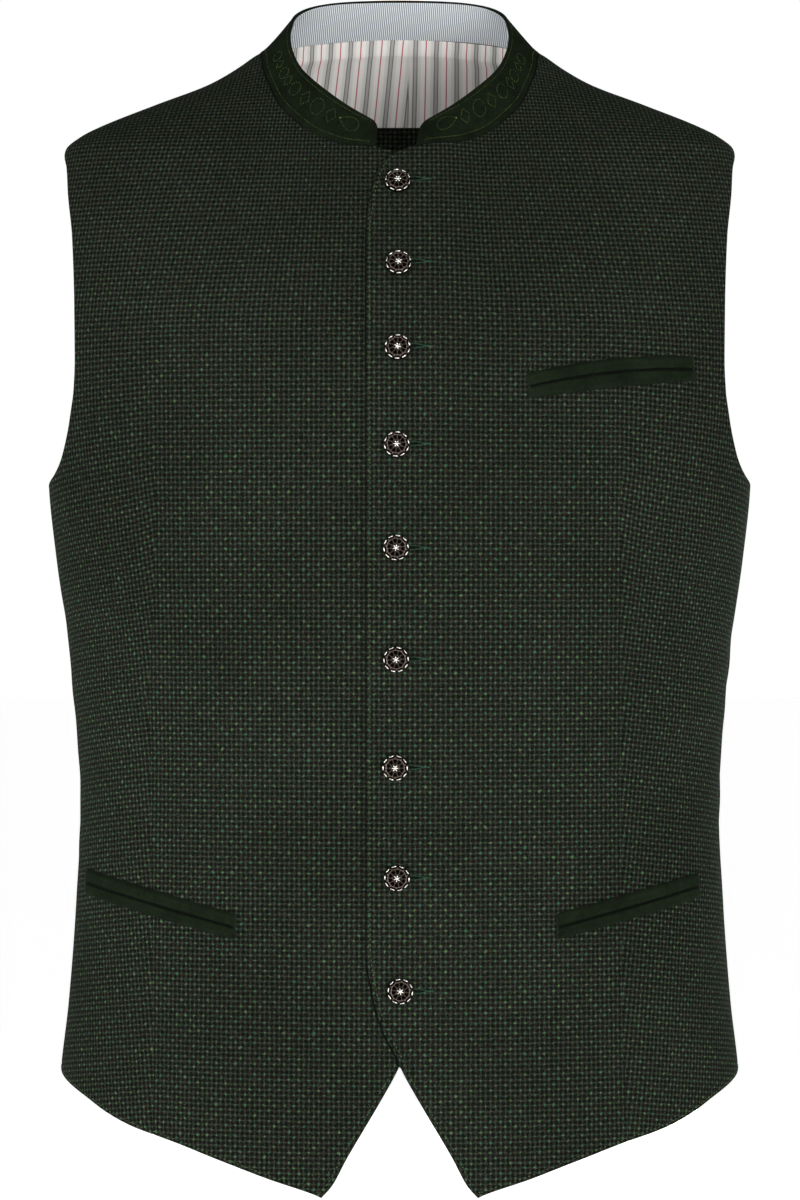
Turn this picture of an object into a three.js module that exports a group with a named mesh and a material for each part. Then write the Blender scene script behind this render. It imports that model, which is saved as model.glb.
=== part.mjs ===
// A trachten waistcoat for a man, hollow and in the shape it has when it is worn: two fronts
// buttoned left over right, two backs, a stand collar with its facing, a back-neck lining, three
// double-welt pockets and nine shank buttons. Millimetres, +Z up. The wearer's left is +X and the
// front faces -Y. The origin lies midway between the two shoulder seams, at half their height.
import * as THREE from 'three';

const { degToRad, radToDeg, lerp, clamp, smoothstep } = THREE.MathUtils;

// Cloth and seams
const WALL = 2.0; // fronts and backs
const SEAM = 0.3; // air between pieces that meet
const LAP_AIR = 0.6; // between the two fronts where they are buttoned together
const LIFT = WALL + LAP_AIR; // the left front is raised this far to lie over the right one
const COLLAR_WALL = 1.6;
const FACING_WALL = 1.0;
const LINING_WALL = 1.0;
const LINING_AIR = 0.7; // between the backs and the lining that hangs inside them

// The heights that the cut is drawn from
const NECK_POINT = 29.5; // shoulder seam at the neck
const SHOULDER_TIP = -27.4; // shoulder seam at the armhole
const NAPE = 41.6; // centre back of the neckline
const UNDERARM = -222;
const SIDE_HEM = -554;
const LINING_HEM = -8; // straight lower edge of the back-neck lining

// The front edge
const OVERLAP = 18.5; // from the centre front to the edge
const LIFT_FULL = 22; // the overlapping front is lifted in full up to here, past the centre
const LIFT_NONE = 52; // and lies on the body's line again from here
const COLLAR_END = { left: 9.2, right: 13.7 }; // from the centre front to the collar's two ends

// Horizontal sections of the worn form: half its width, and its depth before and behind the
// plane of the shoulder and side seams
const sections = [
  { level: 48, half: 72.5, front: 20, back: 65 },
  { level: NAPE, half: 74, front: 21, back: 68 },
  { level: 35, half: 76, front: 23, back: 71 },
  { level: NECK_POINT, half: 78.5, front: 25, back: 74 },
  { level: 25.8, half: 84, front: 27, back: 76 },
  { level: 18.6, half: 94.3, front: 31.5, back: 79.5 },
  { level: 9.9, half: 109.7, front: 38.5, back: 83.5 },
  { level: -1.9, half: 140.5, front: 48, back: 89 },
  { level: -14.1, half: 171.3, front: 57, back: 94 },
  { level: -20, half: 183, front: 61.8, back: 96.5 },
  { level: SHOULDER_TIP, half: 191.7, front: 69, back: 99.3 },
  { level: -50, half: 197, front: 83, back: 107.4 },
  { level: -80, half: 201, front: 97, back: 114.6 },
  { level: -120, half: 203.5, front: 112.5, back: 120 },
  { level: -173, half: 203, front: 125, back: 119.5 },
  { level: UNDERARM, half: 201.3, front: 130.5, back: 114.5 },
  { level: -262, half: 197.1, front: 131, back: 108 },
  { level: -314, half: 189.8, front: 129, back: 100 },
  { level: -363, half: 185.3, front: 125.5, back: 94.5 },
  { level: -409, half: 183.4, front: 122.4, back: 95.5 },
  { level: -457, half: 185.6, front: 120.5, back: 100 },
  { level: -516, half: 190, front: 122, back: 107 },
  { level: SIDE_HEM, half: 194.4, front: 124.5, back: 112 },
  { level: -620, half: 199, front: 128, back: 118 },
];

// Angles run round the body from the centre front (0) past the side (90) to the centre back (180)
const frontNeckline = [
  { angle: 90, level: NECK_POINT },
  { angle: 68, level: 25.3 },
  { angle: 57, level: 19.5 },
  { angle: 44.1, level: 10.7 },
  { angle: 33.4, level: 2 },
  { angle: 26.9, level: -5.3 },
  { angle: 21.2, level: -12.7 },
  { angle: 17.9, level: -17.9 },
  { angle: 14.7, level: -23.3 },
  { angle: 12.1, level: -26.6 },
  { angle: 9.6, level: -29.1 },
  { angle: 4.3, level: -31 },
  { angle: 0, level: -35.3 },
];
const frontArmhole = [
  { level: SHOULDER_TIP, angle: 90 },
  { level: -39, angle: 78 },
  { level: -52, angle: 74 },
  { level: -80, angle: 68 },
  { level: -120, angle: 65 },
  { level: -173, angle: 65 },
  { level: -194, angle: 70 },
  { level: -206, angle: 75 },
  { level: -219, angle: 82 },
  { level: UNDERARM, angle: 90 },
];
const backArmhole = [
  { level: SHOULDER_TIP, angle: 90 },
  { level: -39, angle: 100 },
  { level: -52, angle: 104 },
  { level: -80, angle: 109.5 },
  { level: -120, angle: 112.5 },
  { level: -173, angle: 111 },
  { level: -194, angle: 107 },
  { level: -206, angle: 103 },
  { level: -219, angle: 97 },
  { level: UNDERARM, angle: 90 },
];
// The front edge below the neckline: a rounded corner, the straight run with the buttons, then
// the curve that crosses the centre and ends in the point
const frontEdge = [
  { level: -36.7, x: -3.6 },
  { level: -42.8, x: -10.3 },
  { level: -51.2, x: -13.7 },
  { level: -63.9, x: -16.5 },
  { level: -80, x: -OVERLAP },
  { level: -479, x: -OVERLAP },
  { level: -490, x: -17.4 },
  { level: -502, x: -15.2 },
  { level: -514.4, x: -12.4 },
  { level: -526.5, x: -8 },
  { level: -536.5, x: -2.5 },
  { level: -543.6, x: 0.3 },
  { level: -563.8, x: 11.4 },
  { level: -594.6, x: 29.6 },
  { level: -609, x: 37.4 },
  { level: -615.6, x: 43.3 },
];
const frontHem = [
  { x: 43.3, level: -615.6 },
  { x: 46.9, level: -614 },
  { x: 72.4, level: -606 },
  { x: 98.2, level: -597 },
  { x: 124.5, level: -588 },
  { x: 151.2, level: -580 },
  { x: 164.8, level: -574 },
  { x: 178.5, level: -566 },
  { x: 190.5, level: -559 },
];

// The collar's top edge, from its front end at the wearer's left to the centre back
const collarTop = [
  { x: 11.8, y: -61, z: -17 },
  { x: 30.6, y: -54.9, z: -5.6 },
  { x: 49.3, y: -40.7, z: 9.6 },
  { x: 56.6, y: -30.3, z: 18 },
  { x: 61.2, y: -18.6, z: 28 },
  { x: 62.8, y: -6, z: 37.4 },
  { x: 62.3, y: 3, z: 45 },
  { x: 60.6, y: 16, z: 52 },
  { x: 52, y: 35, z: 58.8 },
  { x: 38, y: 45, z: 62.4 },
  { x: 20, y: 50.5, z: 64.1 },
  { x: 0, y: 52, z: 64.6 },
];
const COLLAR_CORNER = 5.5; // radius at the top of each front end

// Pockets: where the slit starts and ends, seen from the front, and how far it bows up between
const pockets = [
  { name: 'chest', x1: 71.3, z1: -167.1, x2: 164.4, z2: -155.9, bow: 2 },
  { name: 'hip_left', x1: 87.3, z1: -467.4, x2: 168, z2: -447.5, bow: 0 },
  { name: 'hip_right', x1: -91.3, z1: -467.6, x2: -177.3, z2: -446, bow: 0 },
];
const WELT_HEIGHT = 6.6;
const WELT_AIR = 0.45; // under a welt, over the front's facets
const WELT_EDGE = 1.0; // thickness where a welt is stitched down
const WELT_CROWN = 1.6; // and along its middle
const SLIT = 0.6; // between the two welts

// Buttons, from the neck down
const buttons = [
  { x: -1, level: -54.5 },
  { x: -0.6, level: -101.1 },
  { x: -1.1, level: -147.8 },
  { x: -1.6, level: -201 },
  { x: -1.9, level: -257.2 },
  { x: -1.9, level: -318.3 },
  { x: -2.4, level: -377.9 },
  { x: -1.4, level: -439 },
  { x: 0.4, level: -501.7 },
];
const BUTTON_RADIUS = 7.5;
const BUTTON_RISE = 3.6; // from the button's back to its top
const SHANK_RADIUS = 1.6;
const SHANK_LENGTH = 1.7;

// How fine the walls are
const COLUMNS = { front: 14, back: 11 };
const ROWS = { neck: 11, blade: 5, armhole: 8, waist: 8, skirt: 8 };
const COLLAR_ROWS = 3;

const cloth = (color) => new THREE.MeshStandardMaterial({ color, roughness: 0.92, metalness: 0 });
const materials = {
  weave: cloth(0x202b24),
  felt: cloth(0x14231a),
  pinstripe: cloth(0xc3cdd6),
  lining: cloth(0xe4e1dd),
  silver: new THREE.MeshStandardMaterial({ color: 0x8d8a84, roughness: 0.38, metalness: 0.95 }),
};

// A smooth curve through a table's rows that never swings past them: cubic pieces, whose slope
// at each row is the harmonic mean of the slopes on either side
function through(rows, key, value) {
  const sorted = [...rows].sort((a, b) => a[key] - b[key]);
  const last = sorted.length - 1;
  const rise = (i) => {
    const run = sorted[i + 1][key] - sorted[i][key];
    return (sorted[i + 1][value] - sorted[i][value]) / run;
  };
  const slopes = sorted.map((_, i) => {
    if (i === 0) return rise(0);
    if (i === last) return rise(last - 1);
    const [before, after] = [rise(i - 1), rise(i)];
    return before * after > 0 ? (2 * before * after) / (before + after) : 0;
  });
  return (at) => {
    const above = sorted.findIndex((row) => row[key] > at);
    const i = above < 0 ? last - 1 : Math.max(above - 1, 0);
    const [low, high] = [sorted[i], sorted[i + 1]];
    const run = high[key] - low[key];
    const t = clamp((at - low[key]) / run, 0, 1);
    const [s, u] = [t * t, t * t * t];
    return (
      (2 * u - 3 * s + 1) * low[value] +
      (u - 2 * s + t) * run * slopes[i] +
      (3 * s - 2 * u) * high[value] +
      (u - s) * run * slopes[i + 1]
    );
  };
}

const half = through(sections, 'level', 'half');
const frontDepth = through(sections, 'level', 'front');
const backDepth = through(sections, 'level', 'back');
const slope = (curve, at) => curve(at + 0.5) - curve(at - 0.5);
const angleAt = (x, level) => radToDeg(Math.asin(clamp(x / half(level), -1, 1)));

// A point of the worn form, lifted off it along its outward normal
function onBody(angle, level, lift = 0) {
  const depthCurve = angle < 90 ? frontDepth : backDepth;
  const [a, d] = [half(level), depthCurve(level)];
  const [s, c] = [Math.sin(degToRad(angle)), Math.cos(degToRad(angle))];
  const flare = a * slope(depthCurve, level) * c * c + d * slope(half, level) * s * s;
  const normal = new THREE.Vector3(d * s, -a * c, -flare).normalize();
  const point = new THREE.Vector3(a * s, -d * c, level).addScaledVector(normal, lift);
  return { point, normal };
}

// Evenly spaced places along a curve on the cloth, between two of the curve's own parameters
function along(curve, from, to, count) {
  const fine = 240;
  const places = Array.from({ length: fine + 1 }, (_, i) => curve(lerp(from, to, i / fine)));
  const run = [0];
  for (let i = 1; i <= fine; i++) {
    const [before, here] = [places[i - 1], places[i]].map((p) => onBody(p.angle, p.level).point);
    run.push(run[i - 1] + here.distanceTo(before));
  }
  return Array.from({ length: count + 1 }, (_, k) => {
    const target = (run[fine] * k) / count;
    const reached = run.findIndex((length) => length >= target);
    const i = reached < 0 ? fine : Math.max(reached, 1);
    const share = clamp((target - run[i - 1]) / (run[i] - run[i - 1]), 0, 1);
    return {
      angle: lerp(places[i - 1].angle, places[i].angle, share),
      level: lerp(places[i - 1].level, places[i].level, share),
    };
  });
}

// Joins stretches of an edge end to end, each starting where the one before it stopped
const chain = (...stretches) => stretches.flatMap((s, i) => (i ? s.slice(1) : s));

// A closed wall between an outer and an inner grid of points, with its rim all round
function wall(outer, inner) {
  const [rows, columns] = [outer.length, outer[0].length];
  const at = (layer, row, column) => (layer * rows + row) * columns + column;
  const index = [];
  const quad = (a, b, c, d) => index.push(a, b, c, a, c, d);
  for (let r = 0; r < rows - 1; r++) {
    for (let c = 0; c < columns - 1; c++) {
      quad(at(0, r, c), at(0, r + 1, c), at(0, r + 1, c + 1), at(0, r, c + 1));
      quad(at(1, r, c), at(1, r, c + 1), at(1, r + 1, c + 1), at(1, r + 1, c));
    }
  }
  for (let r = 0; r < rows - 1; r++) {
    const c = columns - 1;
    quad(at(0, r, 0), at(1, r, 0), at(1, r + 1, 0), at(0, r + 1, 0));
    quad(at(0, r, c), at(0, r + 1, c), at(1, r + 1, c), at(1, r, c));
  }
  for (let c = 0; c < columns - 1; c++) {
    const r = rows - 1;
    quad(at(0, 0, c), at(0, 0, c + 1), at(1, 0, c + 1), at(1, 0, c));
    quad(at(0, r, c), at(1, r, c), at(1, r, c + 1), at(0, r, c + 1));
  }
  const points = [...outer.flat(), ...inner.flat()];
  const volume = index.reduce((sum, _, i) => {
    if (i % 3) return sum;
    const [a, b, c] = [0, 1, 2].map((k) => points[index[i + k]]);
    return sum + a.dot(b.clone().cross(c));
  }, 0);
  if (volume < 0) index.reverse();
  const geometry = new THREE.BufferGeometry().setFromPoints(points);
  geometry.setIndex(index);
  geometry.computeVertexNormals();
  return geometry;
}

const waistcoat = new THREE.Group();

function add(name, geometry, material) {
  const mesh = new THREE.Mesh(geometry, material);
  mesh.name = name;
  waistcoat.add(mesh);
  return mesh;
}

// Half the garment's panels are cut for the wearer's left; the right ones mirror them
function panel(name, side, places, { shift, liftAt = () => 0 }) {
  const grid = places.map((row) =>
    row.map(({ angle, level }) => {
      const { point, normal } = onBody(angle, level);
      const lift = liftAt(point.x);
      point.addScaledVector(normal, lift).add(shift);
      return { point, normal };
    }),
  );
  const mirror = (v) => v.clone().setX(side * v.x);
  const outer = grid.map((row) => row.map(({ point }) => mirror(point)));
  const inner = grid.map((row) =>
    row.map(({ point, normal }) => mirror(point.clone().addScaledVector(normal, -WALL))),
  );
  add(name, wall(outer, inner), materials.weave);
  // The neckline's points, from the shoulder seam to the centre
  return grid.slice(0, ROWS.neck + 1).map((row) => ({
    point: mirror(row[0].point),
    normal: mirror(row[0].normal),
  }));
}

// Fills a panel between its two upright edges. The top row follows the shoulder seam and the
// bottom row the hem, and both fade out over the rows between.
function fill(leftEdge, rightEdge, columns, hemAt) {
  const seam = along((level) => ({ angle: 90, level }), NECK_POINT, SHOULDER_TIP, columns);
  const last = leftEdge.length - 1;
  return leftEdge.map((left, row) =>
    seam.map((shoulder, column) => {
      const across = column / columns;
      const right = rightEdge[row];
      const angle = lerp(left.angle, right.angle, across);
      const straight = lerp(left.level, right.level, across);
      const atTop = shoulder.level - lerp(NECK_POINT, SHOULDER_TIP, across);
      const bottom = lerp(leftEdge[last].angle, 90, across);
      const atHem = hemAt(bottom) - lerp(leftEdge[last].level, SIDE_HEM, across);
      const topShare = Math.max(1 - row / ROWS.neck, 0) ** 2;
      const hemShare = smoothstep(row / last, 0.55, 1);
      return { angle, level: straight + atTop * topShare + atHem * hemShare };
    }),
  );
}

const neckAt = through(frontNeckline, 'angle', 'level');
const sideSeam = (level) => ({ angle: 90, level });
const CHEST = -105; // where the neckline's rows meet the armhole
const BACK_NOTCH = -78; // and where they meet it on the back
const SHOULDER_BLADE = -52; // the centre back is drawn finer down to here
const MID_SEAM = -436; // where the straight front edge's rows meet the side seam

// Fronts
function front(name, side, collarEnd, liftAt) {
  const endAngle = angleAt(collarEnd, -31.5);
  const start = { x: collarEnd, level: neckAt(endAngle) };
  const edgeX = through([start, ...frontEdge], 'level', 'x');
  const neckline = (angle) => ({ angle, level: neckAt(angle) });
  const edge = (level) => ({ angle: angleAt(edgeX(level), level), level });
  const holeAngle = through(frontArmhole, 'level', 'angle');
  const armhole = (level) => ({ angle: holeAngle(level), level });
  const [straightEnd, point] = [-479, frontEdge.at(-1).level];
  const left = chain(
    along(neckline, 90, endAngle, ROWS.neck),
    along(edge, start.level, UNDERARM, ROWS.armhole),
    along(edge, UNDERARM, straightEnd, ROWS.waist),
    along(edge, straightEnd, point, ROWS.skirt),
  );
  const right = chain(
    along(armhole, SHOULDER_TIP, CHEST, ROWS.neck),
    along(armhole, CHEST, UNDERARM, ROWS.armhole),
    along(sideSeam, UNDERARM, MID_SEAM, ROWS.waist),
    along(sideSeam, MID_SEAM, SIDE_HEM, ROWS.skirt),
  );
  const hemRows = frontHem.map(({ x, level }) => ({ angle: angleAt(x, level), level }));
  const hemAt = through([...hemRows, { angle: 90, level: SIDE_HEM }], 'angle', 'level');
  const shift = new THREE.Vector3(0, -SEAM / 2, 0);
  return panel(name, side, fill(left, right, COLUMNS.front, hemAt), { shift, liftAt });
}

const overRight = (x) => LIFT * (1 - smoothstep(x, LIFT_FULL, LIFT_NONE));
const frontLeftNeck = front('front_left', 1, COLLAR_END.left, overRight);
const frontRightNeck = front('front_right', -1, COLLAR_END.right, () => 0);

// Backs, with a seam down the centre
const napeCurve = (angle) => NAPE - (NAPE - NECK_POINT) * ((180 - angle) / 90) ** 2;

function back(name, side) {
  const neckline = (angle) => ({ angle, level: napeCurve(angle) });
  const centre = (level) => ({ angle: 180, level });
  const holeAngle = through(backArmhole, 'level', 'angle');
  const armhole = (level) => ({ angle: holeAngle(level), level });
  const left = chain(
    along(neckline, 90, 180, ROWS.neck),
    along(centre, NAPE, SHOULDER_BLADE, ROWS.blade),
    along(centre, SHOULDER_BLADE, UNDERARM, ROWS.armhole),
    along(centre, UNDERARM, MID_SEAM, ROWS.waist),
    along(centre, MID_SEAM, SIDE_HEM, ROWS.skirt / 2),
  );
  const right = chain(
    along(armhole, SHOULDER_TIP, BACK_NOTCH, ROWS.neck),
    along(armhole, BACK_NOTCH, CHEST, ROWS.blade),
    along(armhole, CHEST, UNDERARM, ROWS.armhole),
    along(sideSeam, UNDERARM, MID_SEAM, ROWS.waist),
    along(sideSeam, MID_SEAM, SIDE_HEM, ROWS.skirt / 2),
  );
  const shift = new THREE.Vector3(SEAM / 2, SEAM / 2, 0);
  return panel(name, side, fill(left, right, COLUMNS.back, () => SIDE_HEM), { shift });
}

const backLeftNeck = back('back_left', 1);
const backRightNeck = back('back_right', -1);

// The neckline all round, from the wearer's right front past the nape to the left front
const neckline = chain(
  [...frontRightNeck].reverse(),
  backRightNeck,
  [...backLeftNeck].reverse(),
  frontLeftNeck,
);

// The collar is ruled from the neckline to its top edge. Both are walked by their length, with
// extra columns near the front ends for the rounded corners.
function collarColumns() {
  const run = [0];
  for (let i = 1; i < neckline.length; i++) {
    run.push(run[i - 1] + neckline[i].point.distanceTo(neckline[i - 1].point));
  }
  const total = run.at(-1);
  const corner = [0.25, 0.55, 1].map((share) => share * COLLAR_CORNER);
  const stops = [...run, ...corner, ...corner.map((d) => total - d)].sort((a, b) => a - b);
  const leftTop = collarTop.map(({ x, y, z }) => new THREE.Vector3(x, y, z));
  const rightTop = leftTop.slice(0, -1).map((p) => p.clone().setX(-p.x));
  const top = new THREE.CatmullRomCurve3([...rightTop, ...leftTop.reverse()]);
  top.arcLengthDivisions = 600;
  return stops.map((stop) => {
    const reached = run.findIndex((length) => length >= stop);
    const i = reached < 0 ? neckline.length - 1 : Math.max(reached, 1);
    const share = (stop - run[i - 1]) / (run[i] - run[i - 1]);
    const [before, after] = [neckline[i - 1], neckline[i]];
    const normal = before.normal.clone().lerp(after.normal, share).normalize();
    const tangent = after.point.clone().sub(before.point);
    const up = tangent.cross(normal).normalize();
    up.multiplyScalar(Math.sign(up.z));
    const base = before.point.clone().lerp(after.point, share).addScaledVector(up, SEAM);
    const tip = top.getPointAt(stop / total);
    const fromEnd = Math.min(stop, total - stop, COLLAR_CORNER);
    const drop = COLLAR_CORNER - Math.sqrt(COLLAR_CORNER ** 2 - (COLLAR_CORNER - fromEnd) ** 2);
    const height = 1 - drop / tip.distanceTo(base);
    return { base, tip, normal, height };
  });
}

const columns = collarColumns();

// Two faces at given depths under the collar's outside, between two shares of its height
function collarLayer(outerDepth, innerDepth, from, to) {
  const shares = Array.from({ length: COLLAR_ROWS + 1 }, (_, r) => lerp(from, to, r / COLLAR_ROWS));
  const face = shares.map((share) =>
    columns.map(({ base, tip, height }) => base.clone().lerp(tip, share * height)),
  );
  const last = columns.length - 1;
  const normals = face.map((row, r) =>
    row.map((point, c) => {
      if (r === 0) return columns[c].normal;
      const around = row[Math.min(c + 1, last)].clone().sub(row[Math.max(c - 1, 0)]);
      const up = point.clone().sub(face[0][c]);
      const normal = around.cross(up).normalize();
      return normal.multiplyScalar(Math.sign(normal.dot(columns[c].normal)));
    }),
  );
  const offset = (depth) =>
    face.map((row, r) =>
      row.map((point, c) => point.clone().addScaledVector(normals[r][c], -depth)),
    );
  return wall(offset(outerDepth), offset(innerDepth));
}

const FACING = { from: 0.02, to: 0.95 }; // the collar's cloth rolls over its upper edge
const facingDepth = COLLAR_WALL + SEAM;
add('collar', collarLayer(0, COLLAR_WALL, 0, 1), materials.felt);
add(
  'collar_facing',
  collarLayer(facingDepth, facingDepth + FACING_WALL, FACING.from, FACING.to),
  materials.pinstripe,
);

// Back-neck lining, inside both backs from the neckline down to its straight hem
function backNeckLining() {
  const [across, down] = [28, 8];
  const sideGap = 0.5; // degrees clear of each shoulder seam
  const depth = WALL + LINING_AIR;
  const layer = (under) =>
    Array.from({ length: down + 1 }, (_, r) =>
      Array.from({ length: across + 1 }, (_, c) => {
        const round = lerp(90 + sideGap, 270 - sideGap, c / across);
        const angle = round > 180 ? 360 - round : round;
        const level = lerp(napeCurve(angle), LINING_HEM, r / down);
        const { point } = onBody(angle, level, -under);
        return point.setX(round > 180 ? -point.x : point.x).setY(point.y + SEAM / 2);
      }),
    );
  return wall(layer(depth), layer(depth + LINING_WALL));
}

add('back_neck_lining', backNeckLining(), materials.lining);

// A welt: a folded strip along one side of the pocket's slit, thickest along its middle
function welt({ x1, z1, x2, z2, bow }, way) {
  const steps = 12;
  const tilt = Math.atan2(z2 - z1, Math.abs(x2 - x1));
  const sideOf = Math.sign(x1);
  const shares = [0, 0.22, 0.78, 1];
  const thickness = [WELT_EDGE, WELT_CROWN, WELT_CROWN, WELT_EDGE];
  const layer = (lifts) =>
    shares.map((share, r) =>
      Array.from({ length: steps + 1 }, (_, c) => {
        const t = c / steps;
        const out = way * (SLIT / 2 + share * WELT_HEIGHT);
        const x = Math.abs(lerp(x1, x2, t)) - out * Math.sin(tilt);
        const level = lerp(z1, z2, t) + 4 * bow * t * (1 - t) + out * Math.cos(tilt);
        const { point } = onBody(angleAt(x, level), level, lifts[r]);
        return point.setX(sideOf * point.x).setY(point.y - SEAM / 2);
      }),
    );
  return wall(layer(thickness.map((thick) => WELT_AIR + thick)), layer(shares.map(() => WELT_AIR)));
}

for (const pocket of pockets) {
  add(`welt_${pocket.name}_upper`, welt(pocket, 1), materials.felt);
  add(`welt_${pocket.name}_lower`, welt(pocket, -1), materials.felt);
}

// Buttons: a domed metal head with a rounded rim, on a shank that stands on the left front
function buttonGeometry() {
  const head = SHANK_LENGTH;
  const profile = [
    [0, 0],
    [SHANK_RADIUS, 0],
    [SHANK_RADIUS, head],
    [BUTTON_RADIUS * 0.9, head],
    [BUTTON_RADIUS, head + BUTTON_RISE * 0.22],
    [BUTTON_RADIUS * 0.93, head + BUTTON_RISE * 0.45],
    [BUTTON_RADIUS * 0.6, head + BUTTON_RISE * 0.82],
    [BUTTON_RADIUS * 0.25, head + BUTTON_RISE],
    [0, head + BUTTON_RISE],
  ].map(([radius, height]) => new THREE.Vector2(radius, height));
  return new THREE.LatheGeometry(profile, 16);
}

const UP = new THREE.Vector3(0, 1, 0); // a lathe's axis
buttons.forEach(({ x, level }, i) => {
  const { point, normal } = onBody(angleAt(x, level), level, LIFT + SEAM);
  const mesh = add(`button_${i + 1}`, buttonGeometry(), materials.silver);
  mesh.position.copy(point).setY(point.y - SEAM / 2);
  mesh.quaternion.setFromUnitVectors(UP, normal);
});

export default waistcoat;
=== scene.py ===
import math

import bpy
import numpy as np
from mathutils import Matrix


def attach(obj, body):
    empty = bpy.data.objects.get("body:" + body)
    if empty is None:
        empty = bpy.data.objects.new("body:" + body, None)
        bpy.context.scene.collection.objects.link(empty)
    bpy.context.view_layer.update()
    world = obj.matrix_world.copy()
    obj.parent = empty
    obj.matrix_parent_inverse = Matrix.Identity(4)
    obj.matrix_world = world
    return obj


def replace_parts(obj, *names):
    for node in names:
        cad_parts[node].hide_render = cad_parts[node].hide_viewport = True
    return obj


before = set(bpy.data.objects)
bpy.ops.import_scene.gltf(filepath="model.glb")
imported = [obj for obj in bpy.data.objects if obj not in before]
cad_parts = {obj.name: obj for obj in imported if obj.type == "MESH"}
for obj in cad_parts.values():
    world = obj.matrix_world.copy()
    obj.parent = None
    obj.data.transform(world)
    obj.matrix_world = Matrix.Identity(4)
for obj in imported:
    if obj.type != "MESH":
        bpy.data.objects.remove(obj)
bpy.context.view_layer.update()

# The two fronts are dark green wool in a bird's-eye weave. Each is cut in one piece with a dart
# from the chest to the hem, turned in all round and pricked along its edge. The wearer's left one
# laps over the right one, and both are sewn to the backs at the shoulders and the sides.
WALL, SEAM, LIFT, LIFT_FULL, LIFT_NONE = 2.0, 0.3, 2.6, 22, 52  # millimetres, as in the solids
NECK_POINT, SHOULDER_TIP, NAPE = 29.5, -27.4, 41.6
UNDERARM, SIDE_HEM, CHEST, MID_SEAM = -222, -554, -105, -436
SECTIONS = np.array([  # level, half the width, depth before and depth behind
    [48, 72.5, 20, 65], [41.6, 74, 21, 68], [35, 76, 23, 71], [29.5, 78.5, 25, 74],
    [25.8, 84, 27, 76], [18.6, 94.3, 31.5, 79.5], [9.9, 109.7, 38.5, 83.5],
    [-1.9, 140.5, 48, 89], [-14.1, 171.3, 57, 94], [-20, 183, 61.8, 96.5],
    [-27.4, 191.7, 69, 99.3], [-50, 197, 83, 107.4], [-80, 201, 97, 114.6],
    [-120, 203.5, 112.5, 120], [-173, 203, 125, 119.5], [-222, 201.3, 130.5, 114.5],
    [-262, 197.1, 131, 108], [-314, 189.8, 129, 100], [-363, 185.3, 125.5, 94.5],
    [-409, 183.4, 122.4, 95.5], [-457, 185.6, 120.5, 100], [-516, 190, 122, 107],
    [-554, 194.4, 124.5, 112], [-620, 199, 128, 118]]).T
FRONT_NECK = [[90, 29.5], [68, 25.3], [57, 19.5], [44.1, 10.7], [33.4, 2], [26.9, -5.3],
              [21.2, -12.7], [17.9, -17.9], [14.7, -23.3], [12.1, -26.6], [9.6, -29.1],
              [4.3, -31], [0, -35.3]]  # angle, level
FRONT_HOLE = [[-27.4, 90], [-39, 78], [-52, 74], [-80, 68], [-120, 65], [-150, 64.8], [-168, 65.4],
              [-178.3, 66.5], [-189.3, 68], [-199, 70], [-207, 72.4], [-215, 77.5],
              [-222, 90]]  # level, angle
BACK_HOLE = [[-27.4, 90], [-39, 100], [-52, 104], [-80, 109.5], [-120, 112.5], [-173, 111],
             [-194, 107], [-206, 103], [-219, 97], [-222, 90]]
FRONT_EDGE = [[-36.7, -3.6], [-42.8, -10.3], [-51.2, -13.7], [-63.9, -16.5], [-80, -18.5],
              [-479, -18.5], [-490, -17.4], [-502, -15.2], [-514.4, -12.4], [-526.5, -8],
              [-536.5, -2.5], [-543.6, 0.3], [-563.8, 11.4], [-594.6, 29.6], [-609, 37.4],
              [-615.6, 43.3]]  # level, x
FRONT_HEM = [[43.3, -615.6], [46.9, -614], [72.4, -606], [98.2, -597], [124.5, -588],
             [151.2, -580], [164.8, -574], [178.5, -566], [190.5, -559]]  # x, level
COLLAR_END = {1: 9.2, -1: 13.7}  # the collar's ends, on the wearer's left and right
DARTS = {1: [[-150, 121.5], [-213, 122.8], [-400, 124.2], [-528, 125.2], [-620, 130]],
         -1: [[-150, 135.5], [-215, 136], [-270, 136.5], [-340, 140.5], [-440, 139.5],
              [-620, 139]]}  # level, x
DART_TIP, DART_TURN = -213, 0.11  # its level, and how far the weave turns below it, in radians
PRICKED, PRICK_DEPTH = 2.0, 0.22  # the pricking's distance from the edge, and its dimples
COLLAR_FOOT = -31.5  # the level of the neckline at the collar's ends
ROW_SPARE = 1.06  # a row's length along the cloth over the straight line between its ends
SHOULDER_GAP = 0.06  # each panel's share of the shoulder seam
FOLDS = {  # girth from the centre front, level, lean in degrees, reach, width, height
    1: [[205, -318, 10, 46, 9, -0.9], [196, -352, 4, 52, 10, 1.0], [200, -392, -8, 50, 11, -0.9],
        [176, -436, -14, 44, 12, 0.7], [188, -252, 24, 40, 12, 0.8], [150, -560, 80, 52, 15, 1.0],
        [92, -580, 84, 60, 16, -0.9], [128, -96, -38, 60, 17, -0.6], [60, -250, 62, 90, 24, 0.5]],
    -1: [[208, -300, 6, 44, 9, -0.9], [201, -338, 0, 50, 11, 1.1], [196, -380, -9, 52, 10, -1.0],
         [168, -428, -18, 46, 13, 0.7], [190, -246, 20, 42, 12, 0.9], [150, -548, 78, 50, 16, -0.9],
         [104, -570, 86, 58, 17, 0.9], [124, -104, -34, 58, 18, -0.6], [70, -300, 70, 90, 26, 0.5]],
    0: [[210, -330, -8, 60, 12, 0.9], [200, -372, -2, 64, 11, -1.0], [205, -412, 9, 60, 12, 0.8],
        [60, -360, 4, 60, 15, 0.8], [66, -398, 10, 56, 14, -0.7], [120, -130, 40, 70, 20, -0.8],
        [110, -500, 82, 60, 18, 0.9]]}


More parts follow.
